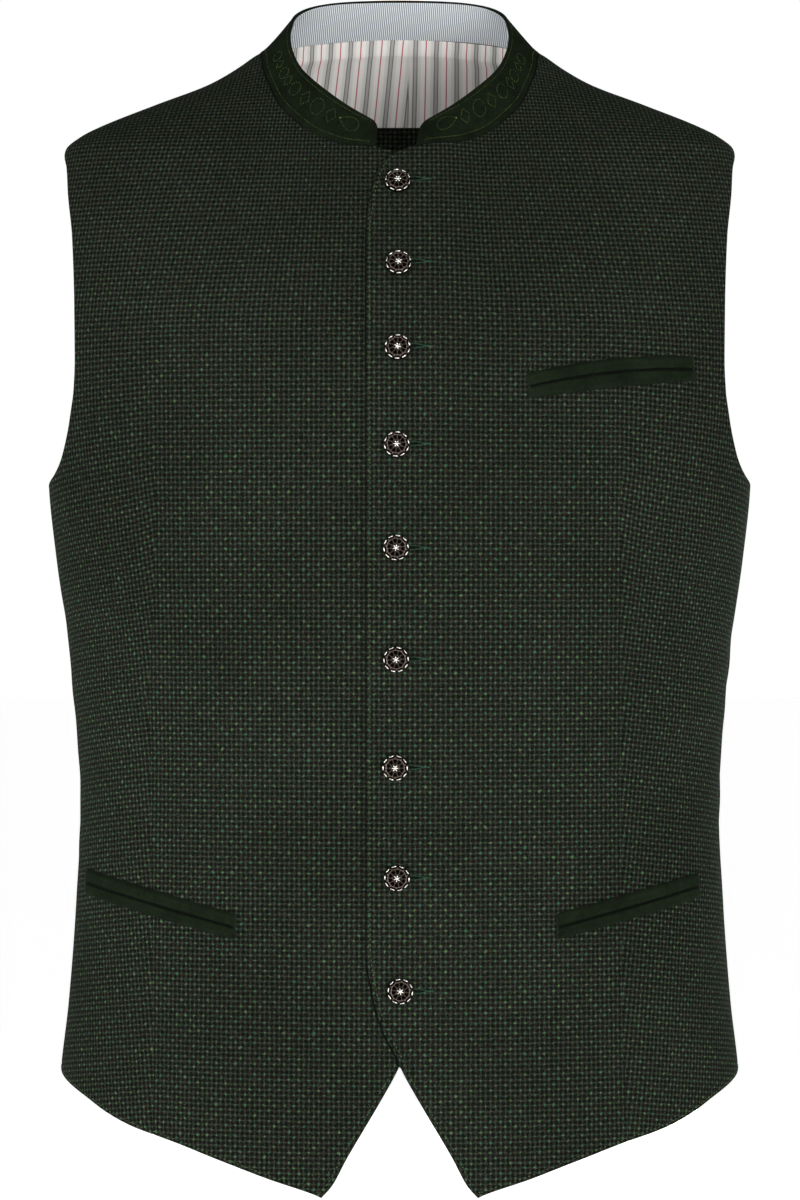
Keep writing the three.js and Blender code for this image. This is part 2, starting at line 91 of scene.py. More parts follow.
def through(places, values, at):
    """A smooth curve through a table's rows, read at many places: cubic pieces whose slope at each
    row is the harmonic mean of the slopes on its two sides, or nothing at a turning point."""
    order = np.argsort(places)
    p, v = np.asarray(places, float)[order], np.asarray(values, float)[order]
    rise = np.diff(v) / np.diff(p)
    product, total = rise[:-1] * rise[1:], rise[:-1] + rise[1:]
    mean = np.where(product > 0, 2 * product / np.where(product > 0, total, 1), 0)
    slope = np.concatenate([rise[:1], mean, rise[-1:]])
    i = np.clip(np.searchsorted(p, at, side="right") - 1, 0, len(p) - 2)
    run = p[i + 1] - p[i]
    t = np.clip((at - p[i]) / run, 0, 1)
    s, u = t ** 2, t ** 3
    return ((2 * u - 3 * s + 1) * v[i] + (u - 2 * s + t) * run * slope[i]
            + (3 * s - 2 * u) * v[i + 1] + (u - s) * run * slope[i + 1])


def smooth(x, low, high):
    """An S-shaped step from 0 at low to 1 at high: three times the square less twice the cube."""
    t = np.clip((x - low) / (high - low), 0, 1)
    return t * t * (3 - 2 * t)


def half(level):
    return through(SECTIONS[0], SECTIONS[1], level)


def depth(angle, level):
    return np.where(angle < 90, through(SECTIONS[0], SECTIONS[2], level),
                    through(SECTIONS[0], SECTIONS[3], level))


def angle_at(x, level):
    return np.degrees(np.arcsin(np.clip(x / half(level), -1, 1)))


def unit(v):
    return v / np.linalg.norm(v, axis=-1, keepdims=True)


def on_body(angle, level, lift=0.0):
    """Points of the worn form and its normals: at each level an ellipse, half width by depth,
    walked by its angle, and lifted along the cross product of its two tangents."""
    angle, level = np.broadcast_arrays(np.asarray(angle, float), np.asarray(level, float))
    a, d = half(level), depth(angle, level)
    s, c = np.sin(np.radians(angle)), np.cos(np.radians(angle))
    widen = half(level + 0.5) - half(level - 0.5)
    deepen = depth(angle, level + 0.5) - depth(angle, level - 0.5)
    normal = unit(np.stack([d * s, -a * c, -(a * deepen * c * c + d * widen * s * s)], -1))
    return np.stack([a * s, -d * c, level], -1) + normal * np.asarray(lift)[..., None], normal


def girth(angle, level):
    """Length round the body from the centre front, or from the centre back behind the side: the
    ellipse's speed summed over forty even steps."""
    start = np.where(angle < 90, 0.0, 180.0)
    t = np.linspace(0, 1, 41).reshape(-1, *[1] * np.ndim(angle))
    theta = np.radians(start + (angle - start) * t)
    speed = np.hypot(half(level) * np.cos(theta), depth(angle, level) * np.sin(theta))
    step = np.radians(np.where(angle < 90, angle, 180 - angle)) / 40
    return (speed[1:] + speed[:-1]).sum(0) * step / 2


def down(level, behind):
    """Length down the cloth: the body's profile half way to the side, summed from the top."""
    z = np.linspace(50, -625, 1351)
    slope = np.gradient(SECTIONS_DEPTH[behind](z), z) * 0.7
    run = np.concatenate([[0], np.cumsum(np.sqrt(1 + slope[1:] ** 2) * 0.5)])
    return np.interp(-np.asarray(level), -z, run)


SECTIONS_DEPTH = [lambda z: depth(0, z), lambda z: depth(180, z)]
YOKE = -60  # above this level the cloth runs over the shoulder


def weave_place(angle, level, behind):
    """Where a place of the body lies on the flat cloth. Below the yoke level it is the girth and
    the length down. Above it the thread runs on at the same x, and its length is summed in forty
    steps along the ellipses' profile there. Near the shoulders the threads lean in to the neck, by
    a hyperbola of the height."""
    x = half(level) * np.sin(np.radians(angle))
    low = np.minimum(level, YOKE)
    turn = angle_at(x, low)
    round_ = girth(np.where(level > YOKE, 180 - turn if behind else turn, angle), low)
    z = low + (level - low) * np.linspace(0, 1, 41).reshape(-1, 1, 1)
    y = SECTIONS_DEPTH[behind](z) * np.sqrt(1 - np.clip(x / half(z), -1, 1) ** 2)
    up = np.hypot(np.diff(y, axis=0), np.diff(z, axis=0)).sum(0)
    rise = np.maximum(level + 140, 0)
    lean = (0.1 if behind else 0.32) * rise ** 2 / (rise + 60) * smooth(x, 10, 110)
    return round_ + lean, down(low, behind) - up


def fold_height(rows, along_girth, level):
    """The height of all soft folds at a place: each is a ridge or trough that fades out as a bell
    curve across its width and along its reach, turned by its lean."""
    total = np.zeros(np.shape(along_girth))
    for place, height_of, lean, reach, width, height in rows:
        c, s = math.cos(math.radians(lean)), math.sin(math.radians(lean))
        x, z = along_girth - place, level - height_of
        total += height * np.exp(-((x * c + z * s) / reach) ** 2 - ((z * c - x * s) / width) ** 2)
    return total


def front_folds(side, round_, level):
    """The folds of one front, which fade out towards its edge."""
    return fold_height(FOLDS[side], round_, level) * smooth(round_, 26, 70)


def along(curve, start, stop, count):
    """Places evenly spaced by their length on the body, along an edge given as a function."""
    angle, level = np.broadcast_arrays(*curve(np.linspace(start, stop, 241)))
    points = on_body(angle, level)[0]
    run = np.concatenate([[0], np.cumsum(np.linalg.norm(np.diff(points, axis=0), axis=1))])
    want = np.linspace(0, run[-1], count + 1)
    return np.stack([np.interp(want, run, angle), np.interp(want, run, level)])


def chain(*parts):
    """Joins stretches of an edge end to end, each without the point it shares with the last."""
    return np.concatenate([parts[0]] + [part[:, 1:] for part in parts[1:]], axis=1)


def stops(length, count):
    """Places across rows of a given length: close together near both ends, even between them."""
    near = np.array([0, 0.4, 0.9, 1.5, PRICKED, 2.6, 4.2])
    length = np.asarray(length, float)[:, None]
    middle = near[-1] + (length - 2 * near[-1]) * np.linspace(0, 1, count + 2)[1:-1]
    return np.concatenate([near + 0 * length, middle, length - near[::-1]], axis=1)


FINE = 8  # samples of an edge to each row of the solids
EASE_ROWS = 11  # rows over which the shoulder seam fades out


def walk(*legs):
    """An upright edge as several legs: each a curve, its start and stop, and the solids' rows."""
    return chain(*[along(curve, start, stop, rows * FINE) for curve, start, stop, rows in legs])


def row_places(pitch, *runs):
    """Where the rows lie, counted in the solids' rows: close together at the top, even in each
    run, and close together by the hem, where the solids' rows are pitch millimetres apart."""
    near_hem = runs[-1][1] - np.array([2.6, PRICKED, 1.5, 0.9, 0.4]) / pitch
    even = [np.linspace(*run) for run in runs]
    return np.unique(np.concatenate([[0.03, 0.07, 0.15, 0.3], *even, near_hem]).round(4))


def fill(left, right, places, share, hem_at):
    """The panel between two upright edges: straight between them in angle and level. The top row
    bends to the shoulder seam and the lower ones to the hem, both fading out between."""
    last = left.shape[1] / FINE - 1 / FINE
    read = np.arange(left.shape[1]) / FINE
    (la, ll), (ra, rl) = [[np.interp(places, read, e)[:, None] for e in edge]
                          for edge in (left, right)]
    seam = along(lambda z: (90.0, z), NECK_POINT, SHOULDER_TIP, 200)[1]
    seam = np.interp(share, np.linspace(0, 1, 201), seam)
    at_top = seam - (NECK_POINT + (SHOULDER_TIP - NECK_POINT) * share)
    bottom = left[0, -1] + (90 - left[0, -1]) * share
    at_hem = hem_at(bottom) - (left[1, -1] + (SIDE_HEM - left[1, -1]) * share)
    top_share = np.maximum(1 - places / EASE_ROWS, 0)[:, None] ** 2
    hem_share = smooth(places / last, 0.55, 1)[:, None]
    return la + (ra - la) * share, ll + (rl - ll) * share + at_top * top_share + at_hem * hem_share


def inset(points, radius):
    """How far a wall's faces sink towards each other near its edges: a quarter circle."""
    across = np.linalg.norm(np.diff(points, axis=1), axis=2)
    up = np.linalg.norm(np.diff(points, axis=0), axis=2)
    pad = [(0, 0), (1, 0)], [(0, 0), (0, 1)], [(1, 0), (0, 0)], [(0, 1), (0, 0)]
    runs = [np.cumsum(np.pad(across, pad[0]), axis=1),
            np.cumsum(np.pad(across, pad[1])[:, ::-1], axis=1)[:, ::-1],
            np.cumsum(np.pad(up, pad[2]), axis=0),
            np.cumsum(np.pad(up, pad[3])[::-1], axis=0)[::-1]]
    near = np.clip(1 - np.minimum.reduce(runs) / radius, 0, 1)
    return 0.75 * radius * (1 - np.sqrt(1 - near ** 2)), runs


def facing(points, outward):
    """Normals of a grid of points, from the cross product of its two directions."""
    normal = unit(np.cross(np.gradient(points, axis=0), np.gradient(points, axis=1)) + 1e-9)
    return normal * np.sign((normal * outward).sum(-1, keepdims=True))


def wall_faces(rows, columns):
    """Quads of a closed wall between two grids: the outside, the inside turned the other way,
    and the rim that joins their edges."""
    grid = np.arange(rows * columns).reshape(rows, columns)
    outside = np.stack([grid[:-1, :-1], grid[1:, :-1], grid[1:, 1:], grid[:-1, 1:]], -1)
    outside = outside.reshape(-1, 4)
    ring = np.concatenate([grid[0, :-1], grid[:-1, -1], grid[-1, :0:-1], grid[:0:-1, 0]])
    after, under = np.roll(ring, -1), rows * columns
    rim = np.stack([ring, after, after + under, ring + under], -1)
    return np.concatenate([outside, outside[:, ::-1] + under, rim])


def make(name, points, faces, material, slot, uv=None):
    """A smooth closed mesh in metres from points in millimetres. Its faces are turned over if the
    volume that they enclose, summed from the origin, comes out negative."""
    points = np.asarray(points, float).reshape(-1, 3)
    p = points[faces]
    volume = (p[:, 0] * (np.cross(p[:, 1], p[:, 2]) + np.cross(p[:, 2], p[:, 3]))).sum()
    if volume < 0:
        faces = faces[:, ::-1]
        uv = None if uv is None else uv[:, ::-1]
    mesh = bpy.data.meshes.new(name)
    mesh.from_pydata((points * 0.001).tolist(), [], faces.tolist())
    mesh.polygons.foreach_set("use_smooth", np.ones(len(faces), bool))
    if uv is not None:
        layer = mesh.uv_layers.new(name="cloth")
        layer.data.foreach_set("uv", (uv * 0.001).astype(np.float32).ravel())
    mesh.materials.append(material)
    mesh.update()
    piece = bpy.data.objects.new(name, mesh)
    bpy.context.scene.collection.objects.link(piece)
    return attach(piece, "root")


def cloth_wall(name, points, normal, depths, radius, flats, material, slot, side=1, turn_at=0):
    """A closed wall between two depths under a grid of points, its edges rounded, and mirrored
    for side -1. Its map is the last of flats, or the first one before the column turn_at. Gives
    the piece and its outer grid."""
    sink, _ = inset(points, radius)
    near, deep = depths
    outer = (points - normal * (near + sink)[..., None]) * [side, 1, 1]
    inner = (points - normal * (deep - sink)[..., None]) * [side, 1, 1]
    faces = wall_faces(*sink.shape)
    column = (faces % sink.size % sink.shape[1]).min(1)[:, None, None]
    maps = [np.tile(flat.reshape(-1, 2), (2, 1))[faces] for flat in flats]
    uv = np.where(column >= turn_at, maps[-1], maps[0]) * [side, 1]
    shape = np.concatenate([outer.reshape(-1, 3), inner.reshape(-1, 3)])
    return make(name, shape, faces, material, slot, uv), outer


def put(tree, kind, *inputs, out=0, **settings):
    """Adds a shader node. Its inputs are given in order: an output is linked, a value is set."""
    node = tree.nodes.new("ShaderNode" + kind)
    for key, value in settings.items():
        setattr(node, key, value)
    for socket, value in zip(node.inputs, inputs):
        if isinstance(value, bpy.types.NodeSocket):
            tree.links.new(value, socket)
        elif value is not None:
            socket.default_value = value
    return node.outputs[out]


def sums(tree, operation, *inputs):
    return put(tree, "Math", *inputs, operation=operation)


def arithmetic(tree):
    """Functions that add, subtract and multiply values in a node tree."""
    return [lambda *values, kind=kind: sums(tree, kind, *values)
            for kind in ("ADD", "SUBTRACT", "MULTIPLY")]


def step(tree, value, low, high):
    """A smooth step of a value from 0 at low to 1 at high; low may be the larger."""
    if low < high:
        return put(tree, "MapRange", value, low, high, 0.0, 1.0, interpolation_type="SMOOTHSTEP")
    return put(tree, "MapRange", value, high, low, 1.0, 0.0, interpolation_type="SMOOTHSTEP")


def blend(tree, factor, one, other):
    """Mixes two colours."""
    return put(tree, "Mix", factor, *[None] * 5, one, other, out=2, data_type="RGBA")


def colour(red, green, blue):
    """A colour of the shader from one read off a screen, each part 0 to 255."""
    part = np.array([red, green, blue]) / 255
    return (*np.where(part > 0.04045, ((part + 0.055) / 1.055) ** 2.4, part / 12.92).tolist(), 1.0)


def finish_of(name, **shader):
    """A material with a Principled shader, whose constants are set on its own sockets."""
    material = bpy.data.materials.new(name)
    material.use_nodes = True
    tree = material.node_tree
    body = tree.nodes["Principled BSDF"]
    for key, value in shader.items():
        body.inputs[key.replace("_", " ")].default_value = value
    return material, tree


def finished(material, base, relief, strength, distance):
    """Links a material's colour and its bump, whose distance is in metres."""
    tree = material.node_tree
    body = tree.nodes["Principled BSDF"]
    tree.links.new(base, body.inputs["Base Color"])
    bump = tree.nodes.new("ShaderNodeBump")
    bump.inputs["Strength"].default_value = strength
    bump.inputs["Distance"].default_value = distance
    tree.links.new(relief, bump.inputs["Height"])
    tree.links.new(bump.outputs[0], body.inputs["Normal"])
    return material


def noise(tree, place, scale, *more, **settings):
    """A noise texture at a place: its scale, detail, roughness, lacunarity and distortion."""
    return put(tree, "TexNoise", place, None, scale, *more, **settings)


def by_parts(tree, operation, *vectors):
    return put(tree, "VectorMath", *vectors, operation=operation)


def plain_weave(tree, across, fall, pace):
    """The relief of single threads: a sine across times a sine down, pace radians a millimetre."""
    return sums(tree, "MULTIPLY", *[sums(tree, "SINE", sums(tree, "MULTIPLY", x, pace))
                                    for x in (across, fall)])


DOT_ACROSS, DOT_DOWN = 2.8, 2.85  # half the dots' spacing in a row, and the rows' own
CALM_TOP, CALM_END = 0.02, -0.3  # metres: the heights between which the dots come out in full


def birdseye():
    """Dark wool as a grid of greenish threads round near-black squares. A dot sits where they
    cross, in every other crossing, so that each row is shifted by half. The dots lie where two
    sets of slanting lines cross, and each has its own tone."""
    material, tree = finish_of("birdseye_cloth", Roughness=0.95, Specular_IOR_Level=0.03,
                               Sheen_Weight=0.018, Sheen_Roughness=0.4,
                               Sheen_Tint=colour(170, 205, 165))
    add, less, times = arithmetic(tree)
    flat = put(tree, "UVMap", uv_map="cloth")
    waver = noise(tree, flat, 420.0, 3.0, 0.6, noise_dimensions="2D", out=1)
    waver = by_parts(tree, "SUBTRACT", waver, (0.5, 0.5, 0.5))
    uv = by_parts(tree, "ADD", by_parts(tree, "MULTIPLY", flat, (1000, 1000, 1000)),
                  by_parts(tree, "MULTIPLY", waver, (1.7, 1.7, 1.7)))
    across, fall = put(tree, "SeparateXYZ", uv).node.outputs[:2]
    u, v = sums(tree, "DIVIDE", across, DOT_ACROSS), sums(tree, "DIVIDE", fall, DOT_DOWN)
    one, two = times(add(u, v), 0.5), times(less(u, v), 0.5)
    off_one, off_two = [sums(tree, "WRAP", x, 0.5, -0.5) for x in (one, two)]

    def reach(x, y):
        return sums(tree, "SQRT", add(times(x, x), times(y, y)))

    far = reach(times(add(off_one, off_two), DOT_ACROSS), times(less(off_one, off_two), DOT_DOWN))
    which = put(tree, "CombineXYZ", less(one, off_one), less(two, off_two))
    own = put(tree, "TexWhiteNoise", which, noise_dimensions="2D")
    pit = reach(*[times(less(sums(tree, "WRAP", x, 1.0, 0.0), 0.5), DOT_ACROSS) for x in (u, v)])
    speck = noise(tree, uv, 1.7, 2.0, 0.75, noise_dimensions="2D")
    rough = times(less(speck, 0.5), 1.6)
    faint = times(put(tree, "TexWhiteNoise", which, noise_dimensions="3D"), 0.35)
    dot = step(tree, add(add(far, faint), rough), 0.95, 0.25)
    hollow = step(tree, add(pit, rough), 1.75, 0.75)
    # Towards the shoulders the dots show less: painted shade, darker towards the top
    place = put(tree, "TexCoord", out=3)
    full = step(tree, put(tree, "SeparateXYZ", place, out=2), CALM_TOP, CALM_END)
    dot = times(dot, sums(tree, "MULTIPLY_ADD", full, 0.55, 0.45))
    square = put(tree, "CombineXYZ", sums(tree, "FLOOR", u), sums(tree, "FLOOR", v))
    hue = put(tree, "TexWhiteNoise", square, noise_dimensions="2D")
    ground = blend(tree, step(tree, speck, 0.3, 0.7), colour(30, 32, 27), colour(57, 61, 53))
    ground = blend(tree, hollow, ground, blend(tree, hue, colour(12, 17, 11), colour(20, 19, 16)))
    cloth = blend(tree, dot, ground, blend(tree, own, colour(42, 86, 64), colour(76, 104, 68)))
    # Single fibres differ in shade and tint
    fibre = noise(tree, uv, 1.25, 3.0, 0.8, noise_dimensions="2D", out=1)
    fibre = by_parts(tree, "MULTIPLY_ADD", fibre, (2.9, 2.9, 2.9), (-0.42, -0.42, -0.42))
    fibre = by_parts(tree, "MAXIMUM", fibre, (0.25, 0.25, 0.25))
    wide = step(tree, noise(tree, place, 9.0, 3.0), 0.35, 0.65)
    shade = blend(tree, wide, (0.9, 0.9, 0.88, 1), (1.06, 1.07, 1.05, 1))
    cloth = by_parts(tree, "MULTIPLY", by_parts(tree, "MULTIPLY", cloth, fibre), shade)
    height = less(add(times(dot, 0.5), times(speck, 0.5)), times(hollow, 0.6))
    height = add(height, times(plain_weave(tree, across, fall, 8.8), 0.15))
    return finished(material, cloth, height, 0.6, 0.0002)


WEAVE = birdseye()
BUTTON_TOP, BUTTON_PITCH, LAP_END = -51, 57.5, -520  # levels of the buttoned stretch


def front_lift(side, x, level):
    """How far a front stands off the worn form: the left one lies over the right one, full
    past the centre and fading out, and eases off a little between the buttons."""
    if side < 0:
        return 0.0 * x
    over = LIFT * (1 - smooth(x, LIFT_FULL, LIFT_NONE))
    between = np.sin(np.pi * (level - BUTTON_TOP) / BUTTON_PITCH) ** 2
    between = between * (level < BUTTON_TOP) * (level > LAP_END)
    return over + 0.5 * between * (1 - smooth(x, -14, 4))


def front(side, name):
    """One front: its two upright edges walked by length, a row every two or three millimetres,
    and a column along the dart, where the weave turns by the cloth that the dart takes up."""
    end_angle = angle_at(COLLAR_END[side], COLLAR_FOOT)
    neck = lambda angle: through(*zip(*FRONT_NECK), angle)
    edge_rows = [[neck(end_angle), COLLAR_END[side]]] + FRONT_EDGE
    edge = lambda z: (angle_at(through(*zip(*edge_rows), z), z), z)
    hole = lambda z: (through(*zip(*FRONT_HOLE), z), z)
    side_seam = lambda z: (90.0, z)
    left = walk((lambda a: (a, neck(a)), 90, end_angle, 11), (edge, edge_rows[0][0], UNDERARM, 8),
                (edge, UNDERARM, -479, 8), (edge, -479, -615.6, 8))
    right = walk((hole, SHOULDER_TIP, CHEST, 11), (hole, CHEST, UNDERARM, 8),
                 (side_seam, UNDERARM, MID_SEAM, 8), (side_seam, MID_SEAM, SIDE_HEM, 8))
    hem = [[float(angle_at(x, z)), z] for x, z in FRONT_HEM] + [[90, SIDE_HEM]]
    places = row_places(16.5, (0, 11, 60), (11, 19, 56), (19, 27, 84), (27, 35, 54))
    read = np.arange(left.shape[1]) / FINE
    (la, ll), (ra, rl) = [[np.interp(places, read, e) for e in edge] for edge in (left, right)]
    share = np.full(len(places), 0.45)
    for _ in range(4):
        level = np.minimum(ll + (rl - ll) * share, DARTS[side][0][0])
        line = angle_at(through(*zip(*DARTS[side]), level), level)
        share = np.where(places > 13, (line - la) / np.maximum(ra - la, 1), 0.45)
    tip = int(np.argmax(places > 16))
    share = share[tip] + (share - share[tip]) * smooth(places, 14, 17)
    length = np.linalg.norm(on_body(la, ll)[0] - on_body(ra, rl)[0], axis=1) * ROW_SPARE
    one = stops(length * share, 24) / length[:, None]
    two = share[:, None] + stops(length * (1 - share), 18)[:, 1:] / length[:, None]
    dart = one.shape[1] - 1
    angle, level = fill(left, right, places, np.concatenate([one, two], axis=1),
                        lambda a: through(*zip(*hem), a))
    round_ = girth(angle, level)
    woven, fall = weave_place(angle, level, 0)
    from_dart = round_ - round_[:, dart:dart + 1]
    below = smooth(-level, -DART_TIP, -DART_TIP + 30)
    trough = -0.55 * np.exp(-(from_dart / 1.1) ** 2) - 0.35 * np.exp(-(from_dart / 7) ** 2)
    points, normal = on_body(angle, level)
    _, (from_edge, _, _, from_hem) = inset(points, 1)
    stitched = np.exp(-((np.minimum(from_edge, from_hem) - PRICKED) / 0.7) ** 2)
    # The dimple ends where the front edge turns into the neckline, which the collar covers
    stitched *= places[:, None] > 10.5
    relief = front_folds(side, round_, level) + trough * below - PRICK_DEPTH * stitched
    lift = front_lift(side, half(level) * np.sin(np.radians(angle)), level)
    points = points + normal * (lift + relief)[..., None] + [0, SHOULDER_GAP, 0]
    normal = facing(points, normal)
    soft = 26 * (1 - below)
    beyond = np.maximum(from_dart + soft, 0)
    beyond = np.sqrt(beyond ** 2 + soft ** 2) - math.sqrt(2) * soft
    beyond = np.where((from_dart < 0) & (below > 0.99), 0, np.maximum(beyond, -9))
    turned = smooth(-level, -DART_TIP - 110, -DART_TIP + 10)
    swirl = 3.0 * np.exp(-((level - DART_TIP + 34) / 42) ** 2) * (1 - np.exp(-beyond / 12))
    fallen = fall - down(DART_TIP, 0)
    shifted = turned * DART_TURN * fallen * np.where(fallen > 0, 1, smooth(from_dart, 0, 40))
    flats = [np.stack([woven, fall], -1),
             np.stack([woven + shifted, fall - turned * (DART_TURN * beyond + swirl)], -1)]
    piece, outer = cloth_wall(name + "_cloth", points, normal, (0, WALL), 1.0, flats, WEAVE,
                              "birdseye_cloth", side, dart)
    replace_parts(piece, name)
    return piece, outer, normal * [side, 1, 1], places


front_left, left_cloth, left_out, front_places = front(1, "front_left")
front_right, right_cloth, right_out, _ = front(-1, "front_right")

# The two backs are cut from the same cloth and joined by a seam down the centre back.
# They meet the fronts at the shoulder and side seams.
BACK_NOTCH, SHOULDER_BLADE = -78, -52
CENTRE_GAP = 0.12  # each back's share of the centre seam


def nape(angle):
    """The back neckline's level, a parabola with its top at the centre back."""
    return NAPE - (NAPE - NECK_POINT) * ((180 - angle) / 90) ** 2


def back(side, name):
    """One back: between the neckline and centre back on one side, and the armhole and side seam
    on the other, with the centre seam's two edges rolled in."""
    centre = lambda z: (180.0, z)
    side_seam = lambda z: (90.0, z)
    hole = lambda z: (through(*zip(*BACK_HOLE), z), z)
    left = walk((lambda a: (a, nape(a)), 90, 180, 11), (centre, NAPE, SHOULDER_BLADE, 5),
                (centre, SHOULDER_BLADE, UNDERARM, 8), (centre, UNDERARM, MID_SEAM, 8),
                (centre, MID_SEAM, SIDE_HEM, 4))
    right = walk((hole, SHOULDER_TIP, BACK_NOTCH, 11), (hole, BACK_NOTCH, CHEST, 5),
                 (hole, CHEST, UNDERARM, 8), (side_seam, UNDERARM, MID_SEAM, 8),
                 (side_seam, MID_SEAM, SIDE_HEM, 4))
    places = row_places(29.5, (0, 11, 56), (11, 16, 30), (16, 24, 52), (24, 32, 72), (32, 36, 38))
    read = np.arange(left.shape[1]) / FINE
    ends = [on_body(*[np.interp(places, read, e) for e in edge])[0] for edge in (left, right)]
    length = np.linalg.norm(ends[0] - ends[1], axis=1) * ROW_SPARE
    share = stops(length, 40) / length[:, None]
    angle, level = fill(left, right, places, share, lambda a: SIDE_HEM + 0 * a)
    round_ = girth(angle, level)
    points, normal = on_body(angle, level)
    *_, from_hem = inset(points, 1)[1]
    stitched = np.exp(-((from_hem - PRICKED) / 0.7) ** 2)
    seam = -0.5 * np.exp(-(round_ / 5) ** 2) * smooth(-level, -30, 20)
    rows = [[g, z + 9 * side, lean * side, reach, wide, high * (1 + 0.15 * side)]
            for g, z, lean, reach, wide, high in FOLDS[0]]
    fade = smooth(round_, 4, 30) * smooth(-level, 30, 90)
    relief = fold_height(rows, round_, level) * fade + seam - PRICK_DEPTH * stitched
    points = points + normal * relief[..., None] + [-CENTRE_GAP, -SHOULDER_GAP, 0]
    flat = np.stack(weave_place(angle, level, 1), -1)
    piece, _ = cloth_wall(name + "_cloth", points, facing(points, normal), (0, WALL), 1.0, [flat],
                          WEAVE, "birdseye_cloth", side)
    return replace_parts(piece, name)


back_left = back(1, "back_left")
back_right = back(-1, "back_right")

# The stand collar is one strip of plain dark green felt, sewn to the neckline all round. Its front
# ends are rounded, its upper edge rolls over to the inside, and it is topstitched along both edges.
COLLAR_WALL, COLLAR_CORNER, COLLAR_TALL = 1.6, 5.5, 24.0
COLLAR_TOP = np.array([
    [11.8, -61, -17], [30.6, -54.9, -5.6], [49.3, -40.7, 9.6], [56.6, -30.3, 18],
    [61.2, -18.6, 28], [62.8, -6, 37.4], [62.3, 3, 45], [60.6, 16, 52], [52, 35, 58.8],
    [38, 45, 62.4], [20, 50.5, 64.1], [0, 52, 64.6]])


def measured(points):
    """The length along a line of points, from its first."""
    return np.concatenate([[0], np.cumsum(np.linalg.norm(np.diff(points, axis=0), axis=1))])


def at_length(values, run, want):
    """Reads a table of vectors that goes with lengths, at the wanted lengths."""
    return np.stack([np.interp(want, run, values[..., k]) for k in range(values.shape[-1])], -1)


def curve_through(points, per_piece=40):
    """A centripetal Catmull-Rom curve: cubic pieces between neighbouring points, whose tangents
    weigh the lines to the points on both sides by the square roots of their distances."""
    p = np.concatenate([[2 * points[0] - points[1]], points, [2 * points[-1] - points[-2]]])
    gap = np.sqrt(np.linalg.norm(np.diff(p, axis=0), axis=1))[:, None]
    line = np.diff(p, axis=0) / gap
    wide = (p[2:] - p[:-2]) / (gap[:-1] + gap[1:])
    leave = (line[:-2] - wide[:-1] + line[1:-1]) * gap[1:-1]
    reach = (line[1:-1] - wide[1:] + line[2:]) * gap[1:-1]
    t = np.linspace(0, 1, per_piece + 1)[:-1, None, None]
    a, b = p[1:-2], p[2:-1]
    path = ((2 * t ** 3 - 3 * t ** 2 + 1) * a + (t ** 3 - 2 * t ** 2 + t) * leave
            + (3 * t ** 2 - 2 * t ** 3) * b + (t ** 3 - t ** 2) * reach)
    return np.concatenate([path.transpose(1, 0, 2).reshape(-1, 3), points[-1:]])


def neckline():
    """The seam line all round, from the wearer's right front past the nape to the left front."""
    def stretch(side, behind):
        if behind:
            angle = np.linspace(90, 180, 200)
            level = nape(angle)
        else:
            angle = np.linspace(90, angle_at(COLLAR_END[side], COLLAR_FOOT), 260)
            level = through(*zip(*FRONT_NECK), angle)
        point, normal = on_body(angle, level)
        if not behind:
            point = point + normal * front_lift(side, point[:, 0], level)[:, None]
        point = point + [0, 0.15 if behind else -0.15, 0]
        return np.concatenate([point, normal], axis=1) * ([side, 1, 1] * 2)
    return np.concatenate([stretch(-1, False)[::-1], stretch(-1, True)[1:],
                           stretch(1, True)[::-1][1:], stretch(1, False)[1:]])


NECK = neckline()
NECK_RUN = measured(NECK[:, :3])
NECK_LENGTH = NECK_RUN[-1]
TOP = curve_through(np.concatenate([COLLAR_TOP[:-1] * [-1, 1, 1], COLLAR_TOP[::-1]]))
TOP_RUN = measured(TOP)


def collar_at(run, share):
    """A point of the collar's outside, ruled from the neckline up to the top edge. run is the
    length along the neckline and share the part of the height."""
    here = at_length(NECK, NECK_RUN, run)
    ahead = at_length(NECK, NECK_RUN, run + 0.5) - at_length(NECK, NECK_RUN, run - 0.5)
    normal = unit(here[..., 3:])
    up = unit(np.cross(ahead[..., :3], normal))
    up = up * np.sign(up[..., 2:])
    base = here[..., :3] + up * SEAM
    tip = at_length(TOP, TOP_RUN, run / NECK_LENGTH * TOP_RUN[-1])
    from_end = np.clip(np.minimum(run, NECK_LENGTH - run), 0, COLLAR_CORNER)
    drop = COLLAR_CORNER - np.sqrt(COLLAR_CORNER ** 2 - (COLLAR_CORNER - from_end) ** 2)
    tall = np.linalg.norm(tip - base, axis=-1)
    part = (share * (1 - drop / tall))[..., None]
    return base + (tip - base) * part, normal


